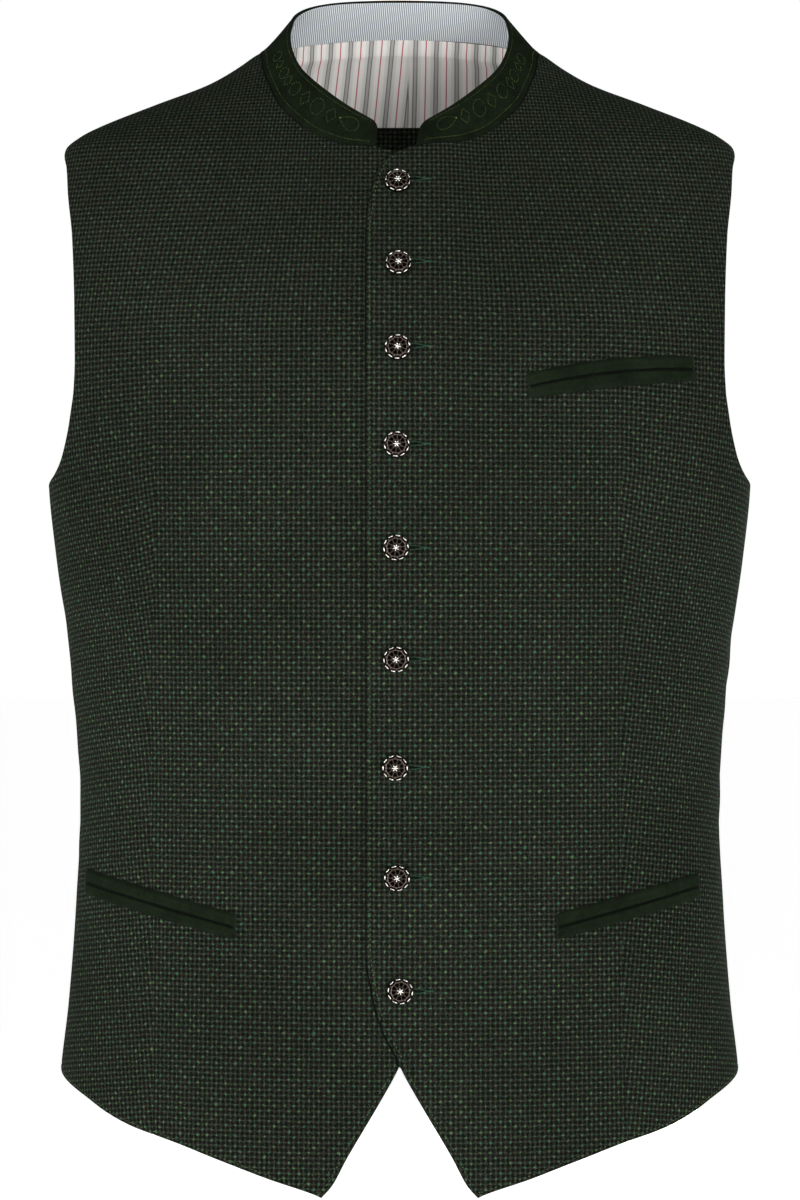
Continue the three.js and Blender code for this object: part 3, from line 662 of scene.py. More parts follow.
def collar_layer(name, near, deep, low, high, material, slot, radius, relief, ends=0.0, rise=None):
    """A closed strip inside the collar's outer face, between two depths and two shares of its
    height. relief gives the height of its soft waves from the length along it and the share, and
    rise lifts its lower edge by a share that changes along it, fading out towards the top."""
    fine = np.array([0, 0.3, 0.7, 1.2, 1.8, 2.5, 3.3, 4.2, 5.2]) + ends
    run = np.concatenate([fine, np.linspace(ends + 6.4, NECK_LENGTH - ends - 6.4, 231),
                          NECK_LENGTH - fine[::-1]])
    lip, inner = np.array([0, 0.25, 0.55, 0.9, 1.3]) / COLLAR_TALL, 2.2 / COLLAR_TALL
    share = np.concatenate([low + lip, np.linspace(low + inner, high - inner, 17),
                            high - lip[::-1]])
    run, share = np.meshgrid(run, share)
    if rise:
        share = share + rise(run) * (high - share) / (high - low)
    points, outward = collar_at(run, share)
    normal = facing(points, outward)
    points = points + normal * relief(run, share)[..., None]
    # Lengths round it are counted from the centre back, and behind the neck straight across
    pace = np.diff(points, axis=1)
    pace[..., 1:] *= 1 - 0.8 * smooth(points[:, 1:, 1:2], 0, 25)
    round_ = np.pad(np.cumsum(np.linalg.norm(pace, axis=2), axis=1), [(0, 0), (1, 0)])
    round_ = round_ - round_[:, round_.shape[1] // 2][:, None]
    flat = np.stack([round_, share * COLLAR_TALL], -1)
    return cloth_wall(name, points, normal, (near, deep), radius, [flat], material, slot)[0]


def felt(name, shade):
    """Plain felted wool: fine mottling at three sizes, a short nap in the bump, and sheen."""
    material, tree = finish_of(name, Roughness=0.95, Specular_IOR_Level=0.03, Sheen_Weight=0.02,
                               Sheen_Roughness=0.5, Sheen_Tint=colour(120, 170, 120))
    add, _, times = arithmetic(tree)
    place = put(tree, "TexCoord", out=3)
    broad = noise(tree, place, 70.0, 3.0, 0.6)
    nap = noise(tree, place, 1500.0, 3.0, 0.7)
    hair = noise(tree, place, 420.0, 4.0, 0.75, None, 1.4)
    mix = add(times(broad, 0.35), add(times(nap, 0.3), times(hair, 0.35)))
    dark, light = [tuple(c * k for c in colour(*shade)[:3]) + (1,) for k in (0.62, 1.5)]
    base = blend(tree, step(tree, mix, 0.36, 0.64), dark, light)
    return finished(material, base, mix, 0.45, 0.00025)


FELT = felt("green_felt", (19, 25, 15))
TOPSTITCH_LOW, TOPSTITCH_HIGH = 0.125, 0.885  # shares of the collar's height


def collar_relief(run, share):
    """Sunk along both rows of topstitching, a little padded between them, and softly uneven."""
    rows = sum(np.exp(-((share - row) * COLLAR_TALL / 0.7) ** 2) for row in (TOPSTITCH_LOW, TOPSTITCH_HIGH))
    return (-0.22 * rows + 0.25 * np.sin(np.pi * np.clip(share, 0, 1)) ** 2
            + 0.12 * np.sin(run / 17) * share)


collar = collar_layer("collar_felt", 0.0, COLLAR_WALL, -0.035, 1.0, FELT, "green_felt", 0.8,
                      collar_relief)
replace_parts(collar, "collar")

# The collar is faced inside with a fine pinstripe cotton, sewn in below the rolled upper edge and
# at the neckline, and a little easy in itself so that it ripples.


def cloth_map(tree):
    """A place on the flat cloth in millimetres, and its parts across and down."""
    uv = by_parts(tree, "MULTIPLY", put(tree, "UVMap", uv_map="cloth"), (1000, 1000, 1000))
    return uv, *put(tree, "SeparateXYZ", uv).node.outputs[:2]


def pinstripe():
    """Thin blue-grey stripes on white up the collar's height, with a fine plain weave."""
    material, tree = finish_of("pinstripe_facing", Roughness=0.75, Specular_IOR_Level=0.25)
    add, _, times = arithmetic(tree)
    uv, across, fall = cloth_map(tree)
    wander = noise(tree, uv, 0.12, 2.0, noise_dimensions="2D")
    pitches = sums(tree, "DIVIDE", add(across, times(wander, 0.6)), 1.25)
    stripe = sums(tree, "ABSOLUTE", sums(tree, "WRAP", pitches, 0.5, -0.5))
    slub = noise(tree, uv, 3.0, 3.0, 0.7, noise_dimensions="2D")
    line = times(step(tree, stripe, 0.32, 0.2), add(slub, 0.45))
    base = blend(tree, line, colour(232, 234, 235), colour(122, 134, 146))
    height = add(plain_weave(tree, across, fall, 14.0), slub)
    return finished(material, base, height, 0.35, 0.0001)


def facing_ripple(run, share):
    """Shallow slanting waves, strongest half way up, more on one side than on the other."""
    waves = 0.3 * np.sin((run + 30 * share) / 9.0) * np.exp(-((run - 150) / 40) ** 2)
    waves += 0.25 * np.sin((run - 46 * share) / 11.0) * np.exp(-((run - 300) / 46) ** 2)
    return waves * np.sin(np.pi * np.clip(share, 0, 1))


def seam_rise(across):
    """How far the facing's seam lies above the neckline: over it at the centre back, and under it
    at the sides, by the square of the distance."""
    return np.maximum(2.2 - 4.3 * (across / 76) ** 2, -3)


facing_depth = COLLAR_WALL + SEAM
collar_facing = collar_layer("collar_facing_cotton", facing_depth, facing_depth + 1.0, 0.01, 0.98,
                             pinstripe(), "pinstripe_facing", 0.5, facing_ripple, 2.4,
                             lambda run: seam_rise(run - NECK_LENGTH / 2) / 28)
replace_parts(collar_facing, "collar_facing")

# The back-neck lining is striped cotton, hung inside both backs from the collar seam down to a
# straight hem. It has a narrow pleat beside the centre and a pressed crease below the seam.
LINING_HEM, LINING_WALL, LINING_AIR = -5.6, 1.0, 0.7
PLEAT_X = 6.6
BAND_REPEAT = 12.55


def striped():
    """Off-white cotton in bands that repeat: a thin red line in the middle of a white band, light
    grey at its sides, and a dark band of two grey lines between the repeats."""
    material, tree = finish_of("striped_lining", Roughness=0.7, Specular_IOR_Level=0.25)
    add, less, times = arithmetic(tree)
    uv, across, fall = cloth_map(tree)
    wander = noise(tree, uv, 0.08, 2.0, noise_dimensions="2D")
    repeats = sums(tree, "DIVIDE", add(across, times(wander, 0.25)), BAND_REPEAT)
    away = sums(tree, "ABSOLUTE", times(sums(tree, "WRAP", repeats, 0.5, -0.5), BAND_REPEAT))
    slub = noise(tree, uv, 2.2, 3.0, 0.7, noise_dimensions="2D")
    base = blend(tree, step(tree, away, 2.4, 3.4), colour(244, 240, 235), colour(226, 223, 219))
    dark = step(tree, sums(tree, "ABSOLUTE", less(away, 5.25)), 0.42, 0.15)
    # Just below the crease, fading out lower down, the cotton is painted a little greyer: painted shade
    # that leaves the strip above the crease lighter
    edge = add(fall, times(wander, 1.2))
    painted_crease_shade = times(step(tree, edge, 8.6, 9.4), step(tree, edge, 46.0, 14.0))
    for where, tone in ((step(tree, away, 4.5, 5.1), (180, 177, 172)), (dark, (118, 117, 115)),
                        (step(tree, away, 0.5, 0.22), (196, 92, 104)),
                        (times(slub, 0.08), (190, 186, 180)), (times(painted_crease_shade, 0.12), (120, 120, 120))):
        base = blend(tree, where, base, colour(*tone))
    return finished(material, base, slub, 0.3, 0.00012)


def lining():
    """The lining: from side to side round the back, and straight down from the nape's parabola to
    the hem. It bulges above its crease, and steps at the pleat."""
    turn = np.unique(np.concatenate([np.linspace(90.4, 269.6, 261), np.linspace(174, 178.4, 34)]))
    share = np.concatenate([[0, 0.006, 0.014, 0.024], np.linspace(0.04, 0.96, 40),
                            [0.976, 0.986, 0.994, 1]])
    turn, share = np.meshgrid(turn, share)
    side = np.where(turn > 180, -1, 1)
    angle = np.where(turn > 180, 360 - turn, turn)
    top = nape(angle) + seam_rise(half(35) * np.sin(np.radians(angle)))
    level = top + (LINING_HEM - top) * share
    point, outward = on_body(angle, level, np.full(angle.shape, -(WALL + LINING_AIR)))
    mirror = np.stack([side, side * 0 + 1, side * 0 + 1], -1)
    point, outward = point * mirror + [0, SEAM / 2, 0], outward * mirror
    drop = top - level
    # Inwards is towards the viewer in front
    inwards = 0.75 * np.exp(-((drop - 8) / 3.2) ** 2) - 0.35 * np.exp(-((drop - 13) / 2.5) ** 2)
    pleat = point[..., 0] - PLEAT_X + 0.036 * drop
    inwards = inwards + 0.9 * smooth(pleat, -5, -0.4) * (1 - smooth(pleat, -0.4, 0.3))
    inwards = inwards * np.minimum(smooth(share, 0, 0.06), 1 - smooth(share, 0.94, 1))
    lean = 0.1 * drop - (0.075 * drop + 1.1) * smooth(pleat, -1.0, 1.2)
    run = np.pad(np.cumsum(np.linalg.norm(np.diff(point, axis=1), axis=2), axis=1), [(0, 0), (1, 0)])
    run = run.max(1, keepdims=True) / 2 - run
    flat = np.stack([point[..., 0] * 0.35 + 0.65 * run + lean - 2.4, drop], -1)
    depths = 0, LINING_WALL + np.maximum(inwards, 0)
    piece, _ = cloth_wall("back_neck_lining_cotton", point, outward, depths, 0.4, [flat], striped(),
                          "striped_lining")
    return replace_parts(piece, "back_neck_lining")


lining_piece = lining()

# The three pockets are cut through the fronts and bound with two welts each, folded strips of the
# collar's felt. Each welt rolls over at the slit and is stitched down along its outer edge and ends.
POCKETS = {  # x and level of both ends, the bow, how far the ends slant, and the far corner's radius
    "chest": (71.3, -168.2, 164.6, -156.6, 3, 1.2, 3.2),
    "hip_left": (87.3, -467.4, 168, -447.5, 0, 0.2, 1),
    "hip_right": (-91.3, -467.6, -177.3, -446, 0, 0.2, 1)}
WELT_CROWN, SLIT = 1.6, 0.9
WELT_HEIGHT = {1: 6.9, -1: 6.1}  # above and below the slit
WELT_FELT = felt("welt_felt", (20, 27, 17))


def side_of(pocket):
    return int(np.sign(pocket[0]))


def on_front(side, x, level, lift):
    """A point over a front's cloth, seen from the front at x and level, with the cloth's folds."""
    angle = angle_at(x, level)
    relief = front_folds(side, girth(angle, level), level) + front_lift(side, x, level) + lift
    point, normal = on_body(angle, level, relief)
    return (point + [0, SHOULDER_GAP, 0]) * [side, 1, 1], normal * [side, 1, 1]


def pocket_place(pocket, t, out):
    """x and level on a pocket: along its slit by t, and out square to it."""
    x1, z1, x2, z2, bow, slant, _ = pocket
    tilt = math.atan2(z2 - z1, abs(x2 - x1))
    x = np.abs(x1 + (x2 - x1) * t) - slant * out * math.sin(tilt)
    bend = 4 * bow * t * (1 - t) * (0.95 + 0.094 * np.minimum(out, 0))
    return x, (z1 + (z2 - z1) * t + bend
               + out * (math.cos(tilt) + math.sin(tilt) * math.tan(tilt) * (1 - slant)))


def welt(name, pocket, way):
    """A folded strip: full and round at the slit, slightly crowned, pressed down to a thin edge
    where it is sewn, with a faint pucker every few millimetres along that seam."""
    t = np.concatenate([[0, 0.002, 0.005, 0.009, 0.014], np.linspace(0.02, 0.98, 93),
                        [0.986, 0.991, 0.995, 0.998, 1]])
    t, share = np.meshgrid(t, np.sin(np.linspace(0, 1, 19) * np.pi / 2) ** 2)
    end = np.minimum(t, 1 - t) * abs(pocket[2] - pocket[0])
    corner = pocket[6] if way > 0 else 1.0
    cut = corner * (1 - np.sqrt(1 - np.clip(1 - end / corner, 0, 1) ** 2))
    cut = cut * np.where(t > 0.5, 1, 0.4)
    roll = np.sqrt(1 - np.clip(1 - share * WELT_HEIGHT[way] / 1.1, 0, 1) ** 2)
    sewn = 1 - 0.72 * smooth(share, 0.72, 1) ** 1.5
    pucker = 1 + 0.05 * np.sin(t * 120) * share + 0.04 * np.sin(t * 37 + 2 * way)
    thick = 0.12 + (WELT_CROWN * 0.98) * roll * sewn * pucker * (0.5 + 0.5 * smooth(end, 0, 1.4))
    place = pocket_place(pocket, t, way * (SLIT / 2 + share * (WELT_HEIGHT[way] - cut)))
    side = side_of(pocket)
    top, _ = on_front(side, *place, 0.35 + thick)
    under, _ = on_front(side, *place, 0.3 + 0 * thick)
    return make(name, np.concatenate([top.reshape(-1, 3), under.reshape(-1, 3)]),
                wall_faces(*t.shape), WELT_FELT, "green_felt")


welts = {}
for pocket_name, pocket in POCKETS.items():
    for way, edge_name in ((1, "upper"), (-1, "lower")):
        node_name = f"welt_{pocket_name}_{edge_name}"
        welts[node_name] = welt(node_name + "_felt", pocket, way)
        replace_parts(welts[node_name], node_name)


def ring_faces(rings, sides, closed=False):
    """Quads between neighbouring rings of points, and from the last one to the first if closed."""
    i, k = np.meshgrid(np.arange(rings if closed else rings - 1), np.arange(sides), indexing="ij")
    corners = (i, k), (i, k + 1), (i + 1, k + 1), (i + 1, k)
    return np.stack([i % rings * sides + k % sides for i, k in corners], -1).reshape(-1, 4)


def stitches(starts, ends, normals, radius, rise=0.8):
    """Short stitches as closed rods of four sides. Each runs straight from its start to its end,
    rises along the normal as a half sine, and thins where it goes into the cloth."""
    t = np.array([0, 0.14, 0.5, 0.86, 1])
    thin = np.array([0.5, 0.88, 1, 0.88, 0.5])
    line = unit(ends - starts)
    across = unit(np.cross(line, normals))
    up = np.cross(across, line)
    centre = starts[:, None] + (ends - starts)[:, None] * t[:, None]
    centre = centre + up[:, None] * (radius * (rise * np.sin(np.pi * t) - 0.1))[:, None]
    turn = np.pi / 4 + np.pi / 2 * np.arange(4)
    ring = across[:, None, None] * np.cos(turn)[:, None] + up[:, None, None] * np.sin(turn)[:, None]
    points = centre[:, :, None] + radius * thin[:, None, None] * ring
    one = np.concatenate([ring_faces(5, 4), [[3, 2, 1, 0], [16, 17, 18, 19]]])
    faces = (one + 20 * np.arange(len(starts))[:, None, None]).reshape(-1, 4)
    return points.reshape(-1, 3), faces


def cord(line, normals, radius, rise=0.0):
    """A cord along a line, as rods from each point to the next."""
    return stitches(line[:-1], line[1:], normals[:-1], radius, rise)


def dashes(points, normals, pitch, part):
    """Starts, ends and normals of even stitches along a line on the cloth: one every pitch, each
    taking up part of it."""
    run = measured(points)
    start = np.arange(0.3 * pitch, run[-1] - pitch, pitch)
    both = np.concatenate([points, normals], axis=1)
    one, two = at_length(both, run, start), at_length(both, run, start + part * pitch)
    return one[:, :3], two[:, :3], unit(one[:, 3:] + two[:, 3:])


def joined(*parts):
    """Several sets of points and faces as one."""
    counts = np.cumsum([0] + [len(p) for p, _ in parts[:-1]])
    return (np.concatenate([p for p, _ in parts]),
            np.concatenate([f + c for (_, f), c in zip(parts, counts)]))


def thread(name, light, dark):
    """Twisted sewing thread: two tones in slanting bands, slightly glossy."""
    material, tree = finish_of(name, Roughness=0.7, Specular_IOR_Level=0.1)
    twist = step(tree, noise(tree, put(tree, "TexCoord", out=3), 1400.0, 2.0, 0.6), 0.4, 0.6)
    tree.links.new(blend(tree, twist, colour(*dark), colour(*light)),
                   tree.nodes["Principled BSDF"].inputs["Base Color"])
    return material


DARK_THREAD = thread("dark_green_thread", (34, 44, 33), (18, 23, 17))
BAR_THREAD = thread("buttonhole_thread", (52, 94, 72), (34, 62, 48))
GOLD_THREAD = thread("yellow_green_thread", (122, 130, 68), (40, 74, 44))

# Each welt's ends are closed by a short bar of close stitches, square to the slit.
bars = []
for pocket in POCKETS.values():
    side = side_of(pocket)
    out = np.linspace(-6.2, 6.6, 24)
    for end in (0.0, 1.0):
        width = 0.009 if end == 0 else -0.009
        x1, z1 = pocket_place(pocket, end - width, out)
        x2, z2 = pocket_place(pocket, end + width, out)
        thick = 0.55 + 0.9 * np.exp(-((np.abs(out) - 2.6) / 2.4) ** 2)
        one, normal = on_front(side, x1, z1, 0.35)
        two, _ = on_front(side, x2, z2, thick)
        bars.append(stitches(one, two, normal, 0.26))
pocket_bars = make("pocket_end_bars", *joined(*bars), DARK_THREAD, "green_felt")

# The front edges and hems are pricked by hand, small stitches two millimetres in, so that the
# edge stays flat. The collar has a fine row of topstitching along both of its long edges.
pricks = []
for cloth, out in ((left_cloth, left_out), (right_cloth, right_out)):
    rows = front_places > 11.5
    edge_line = cloth[rows, 4], out[rows, 4]
    hem_row = len(front_places) - 5
    hem_line = cloth[hem_row, 4:-2], out[hem_row, 4:-2]
    for line, normals in (edge_line, hem_line):
        pricks.append(stitches(*dashes(line, normals, 2.8, 0.42), 0.3, 0.6))
PRICK_THREAD = thread("pricking_thread", (84, 104, 70), (48, 64, 44))
edge_pricking = make("edge_pricking", *joined(*pricks), PRICK_THREAD, "birdseye_cloth")


def on_collar(run, share, lift=0.0):
    """A point on the collar's felt with its normal."""
    point, outward = collar_at(run, share)
    side, up = collar_at(run + 0.4, share)[0], collar_at(run, share + 0.02)[0]
    normal = unit(np.cross(side - point, up - point))
    normal = normal * np.sign((normal * outward).sum(-1, keepdims=True))
    return point + normal * (collar_relief(run, share) + lift)[..., None], normal


seams = []
for row, margin in ((TOPSTITCH_LOW, 3.2), (TOPSTITCH_HIGH, 5.0)):
    run = np.linspace(margin, NECK_LENGTH - margin, 900)
    seams.append(stitches(*dashes(*on_collar(run, np.full(900, row), 0.02), 1.7, 0.5), 0.15, 0.5))
collar_topstitch = make("collar_topstitch", *joined(*seams), GOLD_THREAD, "green_felt")

# The collar's embroidery is a chain in thin yellow-green thread, worked from both front ends
# towards the nape: a leaf first, then round links and small lozenges between them, ever smaller.
MOTIFS = [  # kind, length along the collar from its end, share of the height, length, width, turn
    ("leaf", 19.5, 0.56, 13.5, 9.8, 6), ("link", 32.8, 0.55, 7.5, 9.5, 0),
    ("round", 45.0, 0.55, 9.8, 9.6, 0), ("link", 56.5, 0.52, 7.5, 9.0, 0),
    ("round", 68.0, 0.52, 8.6, 8.6, 0), ("link", 78.0, 0.50, 6.5, 8.2, 0),
    ("round", 86.5, 0.50, 8.0, 8.0, 0), ("link", 96.5, 0.50, 6.0, 7.5, 0),
    ("round", 105.5, 0.50, 7.6, 7.6, 0)]


def motif(kind, length, width):
    """A closed line about its middle. A round link is an ellipse, a lozenge has straight sides,
    and a leaf is an ellipse whose width swells towards one end and comes to a point at the other."""
    t = np.linspace(0, 2 * np.pi, 121)
    c, s = np.cos(t), np.sin(t)
    if kind == "round":
        return length / 2 * c, width / 2 * s
    if kind == "link":
        size = np.abs(c) + np.abs(s)
        return length / 2 * c / size, width / 2 * s / size
    return length / 2 * c, width / 2 * s * np.sqrt(np.clip((1 - c) / 2, 0, 1)) * 1.25


embroidery = []
for mirrored in (False, True):
    for kind, place, share, length, width, turn in MOTIFS:
        along_it, up_it = motif(kind, length, width)
        a = math.radians(turn)
        run = place + along_it * math.cos(a) - up_it * math.sin(a)
        height = share + (along_it * math.sin(a) + up_it * math.cos(a)) / COLLAR_TALL
        run = run if mirrored else NECK_LENGTH - run
        line, normals = on_collar(run, height, 0.05)
        embroidery.append(stitches(*dashes(line, normals, 1.3, 0.36), 0.155, 0.6))
        if kind == "leaf":
            knot, out = line[:1], normals[:1]
            for way in range(3):
                reach = np.array([[math.cos(way * 1.05), 0, math.sin(way * 1.05)]]) * 0.7
                embroidery.append(stitches(knot - reach, knot + reach, out, 0.24))
collar_embroidery = make("collar_embroidery", *joined(*embroidery), GOLD_THREAD, "green_felt")

# Nine shank buttons of cast metal, silvered and darkened in the recesses. Each is a low dome of
# pierced work: a rosette in the middle, spokes and beads round it, and a rim of ten long beads.
BUTTONS = [[-1, -54.5], [-0.6, -101.1], [-1.1, -147.8], [-1.6, -201], [-1.9, -257.2],
           [-1.9, -318.3], [-2.4, -377.9], [-1.4, -439], [0.4, -501.7]]  # x, level
BUTTON_RADIUS, SHANK_RADIUS, SHANK_LENGTH = 7.5, 1.6, 1.7


def turned(profile, count):
    """A closed solid of revolution about z: the profile's radius and height, swept round, with a
    very small ring for each pole."""
    radius, height = np.maximum(np.array(profile, float), [1e-3, -1e9]).T
    turn = np.arange(count) * 2 * np.pi / count
    points = np.stack([radius[:, None] * np.cos(turn), radius[:, None] * np.sin(turn),
                       height[:, None] + 0 * turn], -1)
    return points.reshape(-1, 3), ring_faces(len(radius), count)


def dome(radius):
    """The height of the button's outer face: it falls by the square of the radius, and by a
    smaller part of its fourth power."""
    r = radius / BUTTON_RADIUS
    return 3.35 - 1.35 * r ** 2 - 0.75 * r ** 4


def wire_ring(size, wire, count):
    """A closed round wire of six sides, lying on the dome about the button's middle."""
    turn = np.arange(count) * 2 * np.pi / count
    flat = size * np.stack([np.cos(turn), np.sin(turn)], -1)
    line = np.concatenate([flat, dome(np.linalg.norm(flat, axis=1))[:, None]], -1)
    tangent = unit(np.roll(line, -1, axis=0) - np.roll(line, 1, axis=0))
    side = unit(np.cross(tangent, np.concatenate([flat * 0.06, np.ones((count, 1))], -1)))
    up = np.cross(side, tangent)
    section = np.arange(6)[:, None] * np.pi / 3
    points = line[:, None] + wire * (side[:, None] * np.cos(section) + up[:, None] * np.sin(section))
    return points.reshape(-1, 3), ring_faces(count, 6, True)[:, [0, 3, 2, 1]]


def beads(radius, count, size, spread, high, phase=0.0):
    """Rounded beads set in a ring, each an ellipsoid: size long towards the rim, spread wide."""
    lat, lon = np.meshgrid(np.linspace(0.02, np.pi - 0.02, 7), np.arange(8) * np.pi / 4, indexing="ij")
    turn = (phase + np.arange(count) * 2 * np.pi / count)[:, None, None]
    x, y = np.sin(lat) * np.cos(lon) * size + radius, np.sin(lat) * np.sin(lon) * spread
    c, s = np.cos(turn), np.sin(turn)
    points = np.stack([x * c - y * s, x * s + y * c, np.cos(lat) * high + dome(radius) + 0 * c], -1)
    one = ring_faces(7, 8)[:, [0, 3, 2, 1]]
    faces = (one + 56 * np.arange(count)[:, None, None]).reshape(-1, 4)
    return points.reshape(-1, 3), faces


CUP = np.array([[0.6, -0.1], [0.9, 0], [0.985, 0.5], [0.97, 0.95], [0.86, 1.2], [0.7, 1.75],
                [0.45, 2.35], [0.2, 2.7], [0, 2.8]])  # part of the radius, height over the shank
DOME_FOOT = SHANK_LENGTH - 0.35  # where the dome's heights are counted from


def button_parts():
    """One button about its own axis: a dark cup with its shank, and the bright work on it."""
    cup = turned([[0, 0], [SHANK_RADIUS, 0], [SHANK_RADIUS, SHANK_LENGTH - 0.1],
                  *(CUP * [BUTTON_RADIUS, 1] + [0, SHANK_LENGTH])], 44)
    ring = joined(wire_ring(5.1, 0.27, 44), beads(5.75, 10, 0.5, 0.3, 0.3, 0.514))
    lattice = joined(beads(4.25, 10, 0.75, 0.19, 0.36, 0.2), beads(3.1, 10, 0.34, 0.32, 0.4, 0.2),
                     beads(5.7, 10, 0.42, 0.42, 0.5, 0.514), wire_ring(2.35, 0.12, 28))
    bright = joined(beads(6.6, 10, 0.42, 1.6, 0.5, 0.2), beads(1.3, 6, 0.75, 0.42, 0.5))
    rosette = turned([[0, 3.1], [0.85, 3.2], [0.9, 3.5], [0.6, 3.8], [0.25, 3.94], [0, 3.97]], 16)
    lift = np.array([0, 0, DOME_FOOT])
    return cup, *[(points + lift, faces) for points, faces in (ring, lattice, bright, rosette)]


def silver():
    """Antiqued silver: near black where it lies deep, brownish on the pierced work, and bright
    where it is raised and rubbed. How worn each part is comes from an attribute of the mesh."""
    material, tree = finish_of("button_metal", Metallic=1.0, Specular_IOR_Level=0.5)
    add, less, times = arithmetic(tree)
    rub = noise(tree, put(tree, "TexCoord", out=3), 900.0, 3.0, 0.6)
    worn = add(put(tree, "Attribute", attribute_name="worn", out=2), times(less(rub, 0.5), 0.35))
    tone = blend(tree, step(tree, worn, 0.08, 0.5), colour(8, 7, 6), colour(120, 106, 98))
    tone = blend(tree, step(tree, worn, 0.6, 0.9), tone, colour(238, 235, 228))
    tree.links.new(put(tree, "MapRange", worn, 0.0, 1.0, 0.55, 0.2),
                   tree.nodes["Principled BSDF"].inputs["Roughness"])
    return finished(material, tone, rub, 0.25, 0.0001)


SILVER = silver()
parts = button_parts()
button_points, button_faces = joined(*parts)
worn = np.concatenate([np.full(len(points), tone)
                       for (points, _), tone in zip(parts, (0, 0.44, 0.5, 1, 1))])
# The wires darken towards the cup below them
over = button_points[:, 2] - DOME_FOOT - dome(np.linalg.norm(button_points[:, :2], axis=1))
worn = worn * np.where(worn < 0.9, smooth(over, -0.2, 0.14), smooth(over, -0.45, -0.1))
for i, (x, level) in enumerate(BUTTONS):
    point, normal = on_body(angle_at(x, level), level, LIFT + SEAM)
    right = unit(np.cross([0, 0, 1], normal))
    up = np.cross(normal, right)
    own_turn = i * 0.7
    c, s = math.cos(own_turn), math.sin(own_turn)
    local = button_points @ np.array([[c, s, 0], [-s, c, 0], [0, 0, 1]])
    placed = point + [0, -SEAM / 2, 0] + local @ np.stack([-right, up, normal])
    button = make(f"button_{i + 1}_silver", placed, button_faces[:, ::-1], SILVER, "button_metal")
    attribute = button.data.attributes.new("worn", "FLOAT", "POINT")
    attribute.data.foreach_set("value", worn.astype(np.float32))
    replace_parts(button, f"button_{i + 1}")

# Nine buttonholes, worked by hand in the left front: a slit that starts under the button, close
# stitches over a cord round it, and a bar that runs on past its end.
SLIT_FROM, SLIT_TO, TAIL_TO = 2.0, 12.6, 18.6  # from the button's middle towards the wearer's left
HOLE_RISE, RISE_FROM = 0.0128, -257  # rise a millimetre of height, and the level where it starts


def buttonhole(x, level):
    """The work round one hole: two cords that run beside the slit and close in a half sine to the
    bar past its end, and fine stitches over them, square to the slit."""
    t = np.linspace(0, 1, 60)
    run = SLIT_FROM + (TAIL_TO - 3.5 - SLIT_FROM) * t
    gape = 0.12 + 1.05 * np.sin(np.pi / 2 * np.clip((1 - t) * 2.2, 0, 1))
    cords, cover = [], []
    for way in (1, -1):
        cords.append(cord(*on_front(1, x + run, level + way * gape, 0.12), 0.27, 0.2))
        inner, normal = on_front(1, x + run, level + way * np.maximum(gape - 0.75, 0.1), 0.0)
        outer, _ = on_front(1, x + run + 0.15, level + way * gape, 0.06)
        cover.append(stitches(inner[:40], outer[:40], normal[:40], 0.13, 0.9))
    tail = np.linspace(TAIL_TO - 3.6, TAIL_TO, 14)
    wide = 0.5 - 0.25 * np.linspace(0, 1, 14)
    one, normal = on_front(1, x + tail, level + wide, 0.02)
    two, _ = on_front(1, x + tail + 0.25, level - wide, 0.02)
    cords.append(stitches(one, two, normal, 0.15, 0.9))
    return cords, cover


holes, covers, shadow_rods = [], [], []
for x, level in BUTTONS:
    # High up, where the chest leans back, the caps sit above their shanks' feet, and so do the holes
    level = level + HOLE_RISE * max(level - RISE_FROM, 0)
    cords, cover = buttonhole(x, level)
    holes, covers = holes + cords, covers + cover
    # A dark rod along the slit: painted shade in the opening
    one, normal = on_front(1, np.array([x + SLIT_FROM]), np.array([float(level)]), 0.03)
    two, _ = on_front(1, np.array([x + SLIT_TO]), np.array([float(level)]), 0.03)
    shadow_rods.append(stitches(one, two, normal, 0.6, -0.3))
buttonhole_cover = make("buttonhole_cover", *joined(*covers), DARK_THREAD, "birdseye_cloth")
buttonhole_work = make("buttonhole_work", *joined(*holes), BAR_THREAD, "birdseye_cloth")
# Near-black rods in the slits, gaps and seams below stand in for the shade there: painted shadow
PAINTED_SHADOW = thread("slit_shadow", (8, 10, 8), (3, 4, 3))
# A dark rod in each pocket's mouth and along each welt's sewn edge: painted shadow
for pocket in POCKETS.values():
    t = np.linspace(0.01, 0.99, 40)
    shadow_rods.append(cord(*on_front(side_of(pocket), *pocket_place(pocket, t, 0.0), 0.7), 0.56))
    for way in (1, -1):
        seam = pocket_place(pocket, 0.03 + 0.94 * t, way * (SLIT / 2 + WELT_HEIGHT[way]))
        shadow_rods.append(cord(*on_front(side_of(pocket), *seam, 0.25), 0.3))
# A dark rod of painted shadow in the gap under the lapped edge, wider where the edge stands off the front
# below it
edge_level, edge_x = np.array(FRONT_EDGE).T[:, ::-1]
for low, high, radius in ((-544, -60, 0.4), (-160, -70, 0.6), (-543, -484, 0.8)):
    level = np.linspace(low, high, 160)
    x = 0.5 * radius - np.interp(level, edge_level, edge_x)
    shadow_rods.append(cord(*on_front(-1, x, level, 0.02), radius))
# A thin dark rod of painted shadow along the collar's lower edge
run = np.linspace(1, NECK_LENGTH - 1, 320)
shadow_rods.append(cord(*on_collar(run, np.full(320, -0.05), -0.1), 0.45))
painted_shadow_rods = make("painted_shadow_rods", *joined(*shadow_rods), PAINTED_SHADOW, "birdseye_cloth")

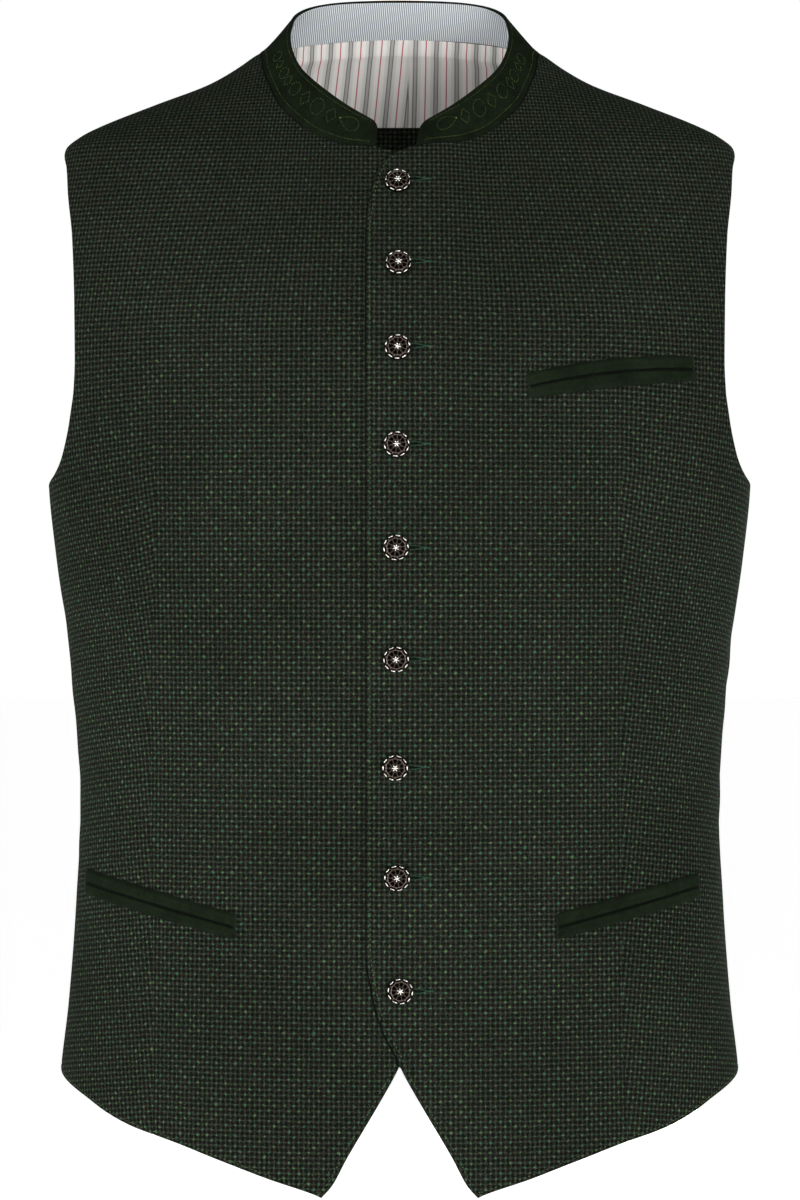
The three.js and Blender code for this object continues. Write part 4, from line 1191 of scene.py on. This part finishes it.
# The studio: a plain pale floor well below the hem, even pale light from all round, and four
# large soft lamps.
floor_mesh = bpy.data.meshes.new("floor")
floor_mesh.from_pydata([(x, y, -0.9) for x, y in ((-30, -30), (30, -30), (30, 30), (-30, 30))], [],
                       [(0, 1, 2, 3)])
floor_finish, floor_tree = finish_of("pale_floor", Roughness=0.9, Specular_IOR_Level=0.1,
                                     Emission_Strength=0.75, Emission_Color=(1, 1, 1, 1))
patch = noise(floor_tree, put(floor_tree, "TexCoord", out=3), 3.0, 2.0)
floor_tree.links.new(blend(floor_tree, patch, (0.9, 0.9, 0.9, 1), (0.93, 0.93, 0.93, 1)),
                     floor_tree.nodes["Principled BSDF"].inputs["Base Color"])
floor_mesh.materials.append(floor_finish)
floor = bpy.data.objects.new("floor", floor_mesh)
bpy.context.scene.collection.objects.link(floor)

world = bpy.data.worlds.new("studio")
bpy.context.scene.world = world
world.use_nodes = True
bpy.context.scene.view_settings.view_transform = "Standard"
# The air is white at eye level and dimmer overhead, as under a dark ceiling
sky = world.node_tree
height = step(sky, put(sky, "SeparateXYZ", put(sky, "TexCoord", out=0), out=2), 0.12, 0.6)
sky.links.new(blend(sky, height, (1, 1, 1, 1), (0.12, 0.12, 0.12, 1)),
              sky.nodes["Background"].inputs[0])


def lamp(name, place, aim, size, power):
    """A square soft lamp, turned so that its own minus z axis points at its aim."""
    data = bpy.data.lights.new(name, "AREA")
    data.size, data.energy = size, power
    light = bpy.data.objects.new(name, data)
    bpy.context.scene.collection.objects.link(light)
    z = unit(np.subtract(place, aim).astype(float))
    x = unit(np.cross([0, 0, 1], z))
    turn = np.eye(4)
    turn[:3, 0], turn[:3, 1], turn[:3, 2], turn[:3, 3] = x, np.cross(z, x), z, place
    light.matrix_world = Matrix(turn.tolist())


lamp("key", (1.2, -3.0, -0.4), (0, 0, -0.3), 1.3, 52)
lamp("fill", (-2.5, -1.9, -0.4), (0, 0, -0.35), 1.6, 34)
lamp("top", (0, -0.6, 2.0), (0, 0, -0.2), 1.0, 5)
lamp("back", (0.9, 3.2, -0.5), (0, 0, -0.3), 1.6, 22)

# The camera stands straight in front, level, at mid-height of the waistcoat.
camera_data = bpy.data.cameras.new("camera")
camera_data.sensor_fit, camera_data.sensor_height = "VERTICAL", 36
camera_data.lens = 158.2
camera = bpy.data.objects.new("camera", camera_data)
camera.location, camera.rotation_euler = (0.0002, -3.03, -0.286), (math.pi / 2, 0, 0)
bpy.context.scene.collection.objects.link(camera)
bpy.context.scene.camera = camera
